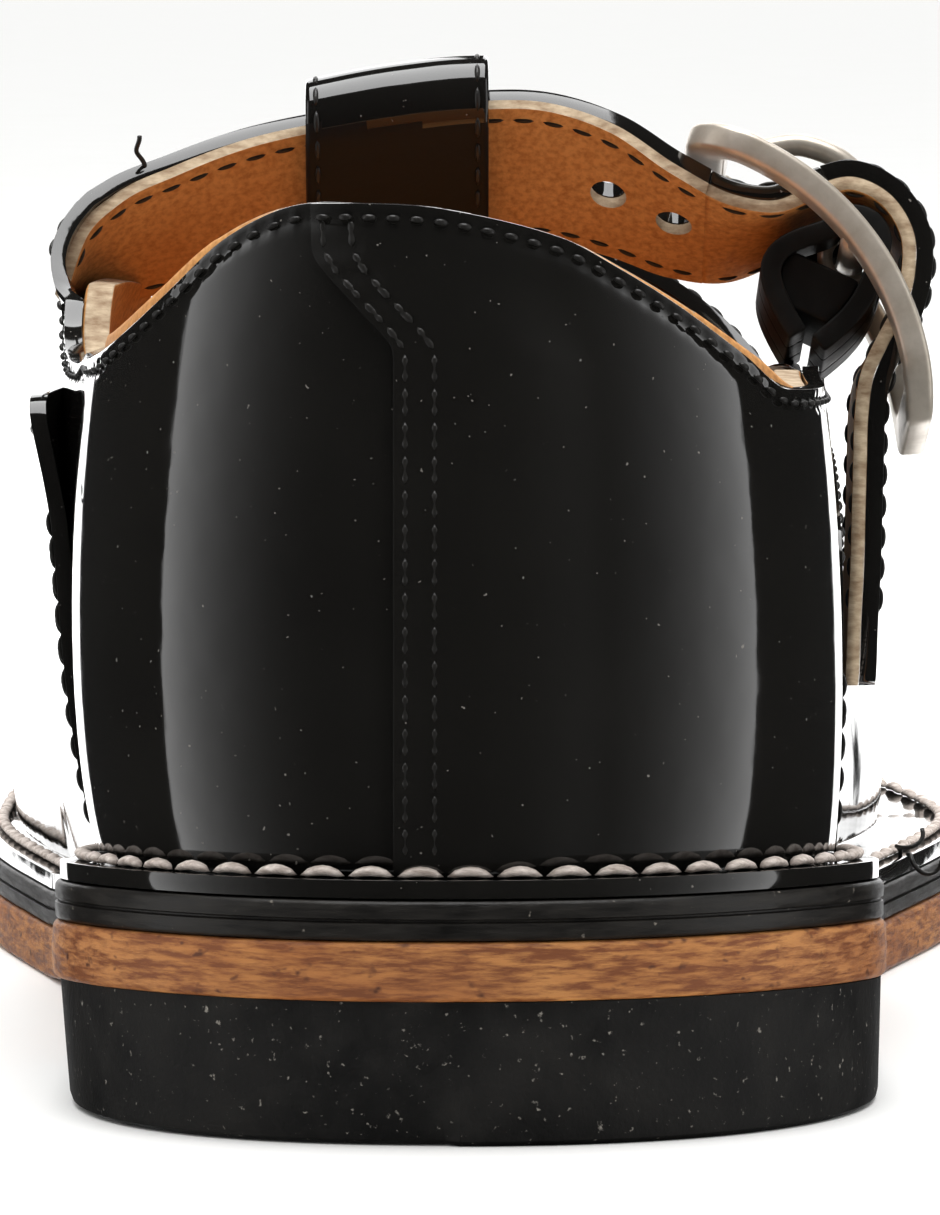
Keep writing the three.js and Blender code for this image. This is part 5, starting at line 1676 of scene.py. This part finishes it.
class ShoeColours(bpy.types.PropertyGroup):
    """Colours of the finishes"""
    patent: colour_property(*COLOURS["patent"])
    glazed: colour_property(*COLOURS["glazed"])
    lining: colour_property(*COLOURS["lining"])
    raw_edge: colour_property(*COLOURS["raw_edge"])
    sole: colour_property(*COLOURS["sole"])
    welt: colour_property(*COLOURS["welt"])
    rubber: colour_property(*COLOURS["rubber"])
    nickel: colour_property(*COLOURS["nickel"])
    welt_thread: colour_property(*COLOURS["welt_thread"])
    black_thread: colour_property(*COLOURS["black_thread"])
    board: colour_property(*COLOURS["board"])
    steel: colour_property(*COLOURS["steel"])


class SHOE_OT_heel_block(bpy.types.Operator):
    """Builds the rubber heel block with its nail wells"""
    bl_idname = "shoe.heel_block"
    bl_label = "Heel block"

    def execute(self, context):
        build_heel()
        return {"FINISHED"}


class SHOE_OT_outsole(bpy.types.Operator):
    """Builds the leather outsole"""
    bl_idname = "shoe.outsole"
    bl_label = "Outsole"

    def execute(self, context):
        build_outsole()
        return {"FINISHED"}


class SHOE_OT_midsole(bpy.types.Operator):
    """Builds the black midsole"""
    bl_idname = "shoe.midsole"
    bl_label = "Midsole"

    def execute(self, context):
        build_midsole()
        return {"FINISHED"}


class SHOE_OT_welt_stitches(bpy.types.Operator):
    """Builds the stitches round the welt"""
    bl_idname = "shoe.welt_stitches"
    bl_label = "Welt stitches"

    def execute(self, context):
        build_welt_thread()
        return {"FINISHED"}


class SHOE_OT_medial_quarter(bpy.types.Operator):
    """Builds the medial quarter, the strap that grows from it and their stitches"""
    bl_idname = "shoe.medial_quarter"
    bl_label = "Medial quarter and strap"

    def execute(self, context):
        build_medial_quarter()
        return {"FINISHED"}


class SHOE_OT_lateral_quarter(bpy.types.Operator):
    """Builds the lateral quarter with the back seam and its stitches"""
    bl_idname = "shoe.lateral_quarter"
    bl_label = "Lateral quarter"

    def execute(self, context):
        build_lateral_quarter()
        return {"FINISHED"}


class SHOE_OT_vamp(bpy.types.Operator):
    """Builds the vamp, its wings and their stitches"""
    bl_idname = "shoe.vamp"
    bl_label = "Vamp"

    def execute(self, context):
        build_vamp()
        return {"FINISHED"}


class SHOE_OT_linings(bpy.types.Operator):
    """Builds the linings of both quarters"""
    bl_idname = "shoe.linings"
    bl_label = "Quarter linings"

    def execute(self, context):
        build_linings()
        return {"FINISHED"}


class SHOE_OT_strap_lining(bpy.types.Operator):
    """Builds the strap's lining and its stitches"""
    bl_idname = "shoe.strap_lining"
    bl_label = "Strap lining"

    def execute(self, context):
        build_strap_lining()
        return {"FINISHED"}


class SHOE_OT_strap_bridge(bpy.types.Operator):
    """Builds the length of strap between the buckle's medial end and its bar"""
    bl_idname = "shoe.strap_bridge"
    bl_label = "Strap under the buckle"

    def execute(self, context):
        build_strap_bridge()
        return {"FINISHED"}


class SHOE_OT_strap_end(bpy.types.Operator):
    """Builds the strap's free end"""
    bl_idname = "shoe.strap_end"
    bl_label = "Strap end"

    def execute(self, context):
        build_strap_end()
        return {"FINISHED"}


class SHOE_OT_loose_threads(bpy.types.Operator):
    """Builds the loose ends of thread"""
    bl_idname = "shoe.loose_threads"
    bl_label = "Loose threads"

    def execute(self, context):
        build_loose_threads()
        return {"FINISHED"}


class SHOE_OT_t_bar(bpy.types.Operator):
    """Builds the T-bar and its loop"""
    bl_idname = "shoe.t_bar"
    bl_label = "T-bar"

    def execute(self, context):
        build_t_bar()
        return {"FINISHED"}


class SHOE_OT_buckle(bpy.types.Operator):
    """Builds the buckle's frame and its bar"""
    bl_idname = "shoe.buckle"
    bl_label = "Buckle"

    def execute(self, context):
        build_buckle()
        return {"FINISHED"}


class SHOE_OT_prong(bpy.types.Operator):
    """Builds the buckle's prong and its eye"""
    bl_idname = "shoe.prong"
    bl_label = "Prong"

    def execute(self, context):
        build_prong()
        return {"FINISHED"}


class SHOE_OT_chape(bpy.types.Operator):
    """Builds the leather that holds the buckle"""
    bl_idname = "shoe.chape"
    bl_label = "Chape"

    def execute(self, context):
        build_chape()
        return {"FINISHED"}


class SHOE_OT_hidden_pieces(bpy.types.Operator):
    """Gives the pieces that the frame itself shows their materials"""
    bl_idname = "shoe.hidden_pieces"
    bl_label = "Hidden pieces"

    def execute(self, context):
        finish_hidden_nodes()
        return {"FINISHED"}


class SHOE_OT_stage(bpy.types.Operator):
    """Builds the floor, the lights and the camera"""
    bl_idname = "shoe.stage"
    bl_label = "Stage"

    def execute(self, context):
        build_stage()
        return {"FINISHED"}


STEPS = (SHOE_OT_heel_block,
         SHOE_OT_outsole,
         SHOE_OT_midsole,
         SHOE_OT_welt_stitches,
         SHOE_OT_medial_quarter,
         SHOE_OT_lateral_quarter,
         SHOE_OT_vamp,
         SHOE_OT_linings,
         SHOE_OT_strap_lining,
         SHOE_OT_strap_bridge,
         SHOE_OT_strap_end,
         SHOE_OT_loose_threads,
         SHOE_OT_t_bar,
         SHOE_OT_buckle,
         SHOE_OT_prong,
         SHOE_OT_chape,
         SHOE_OT_hidden_pieces,
         SHOE_OT_stage)


class SHOE_PT_build(bpy.types.Panel):
    """Sidebar panel with the shoe's sizes, its colours and its steps"""
    bl_idname = "SHOE_PT_build"
    bl_label = "T-bar shoe"
    bl_space_type = "VIEW_3D"
    bl_region_type = "UI"
    bl_category = "Shoe"

    def draw(self, context):
        for kind, group in ((ShoeSizes, context.scene.shoe_sizes), (ShoeColours, context.scene.shoe_colours)):
            box = self.layout.box()
            for name in kind.__annotations__:
                box.prop(group, name)
        for step in STEPS:
            self.layout.operator(step.bl_idname)


CLASSES = (ShoeSizes, ShoeColours) + STEPS + (SHOE_PT_build,)


def register():
    for kind in CLASSES:
        bpy.utils.register_class(kind)
    bpy.types.Scene.shoe_sizes = bpy.props.PointerProperty(type=ShoeSizes)
    bpy.types.Scene.shoe_colours = bpy.props.PointerProperty(type=ShoeColours)


def unregister():
    del bpy.types.Scene.shoe_colours
    del bpy.types.Scene.shoe_sizes
    for kind in reversed(CLASSES):
        bpy.utils.unregister_class(kind)


def main():
    """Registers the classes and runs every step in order."""
    register()
    for step in STEPS:
        getattr(bpy.ops.shoe, step.bl_idname.split(".")[1])()


if __name__ == "__main__":
    main()
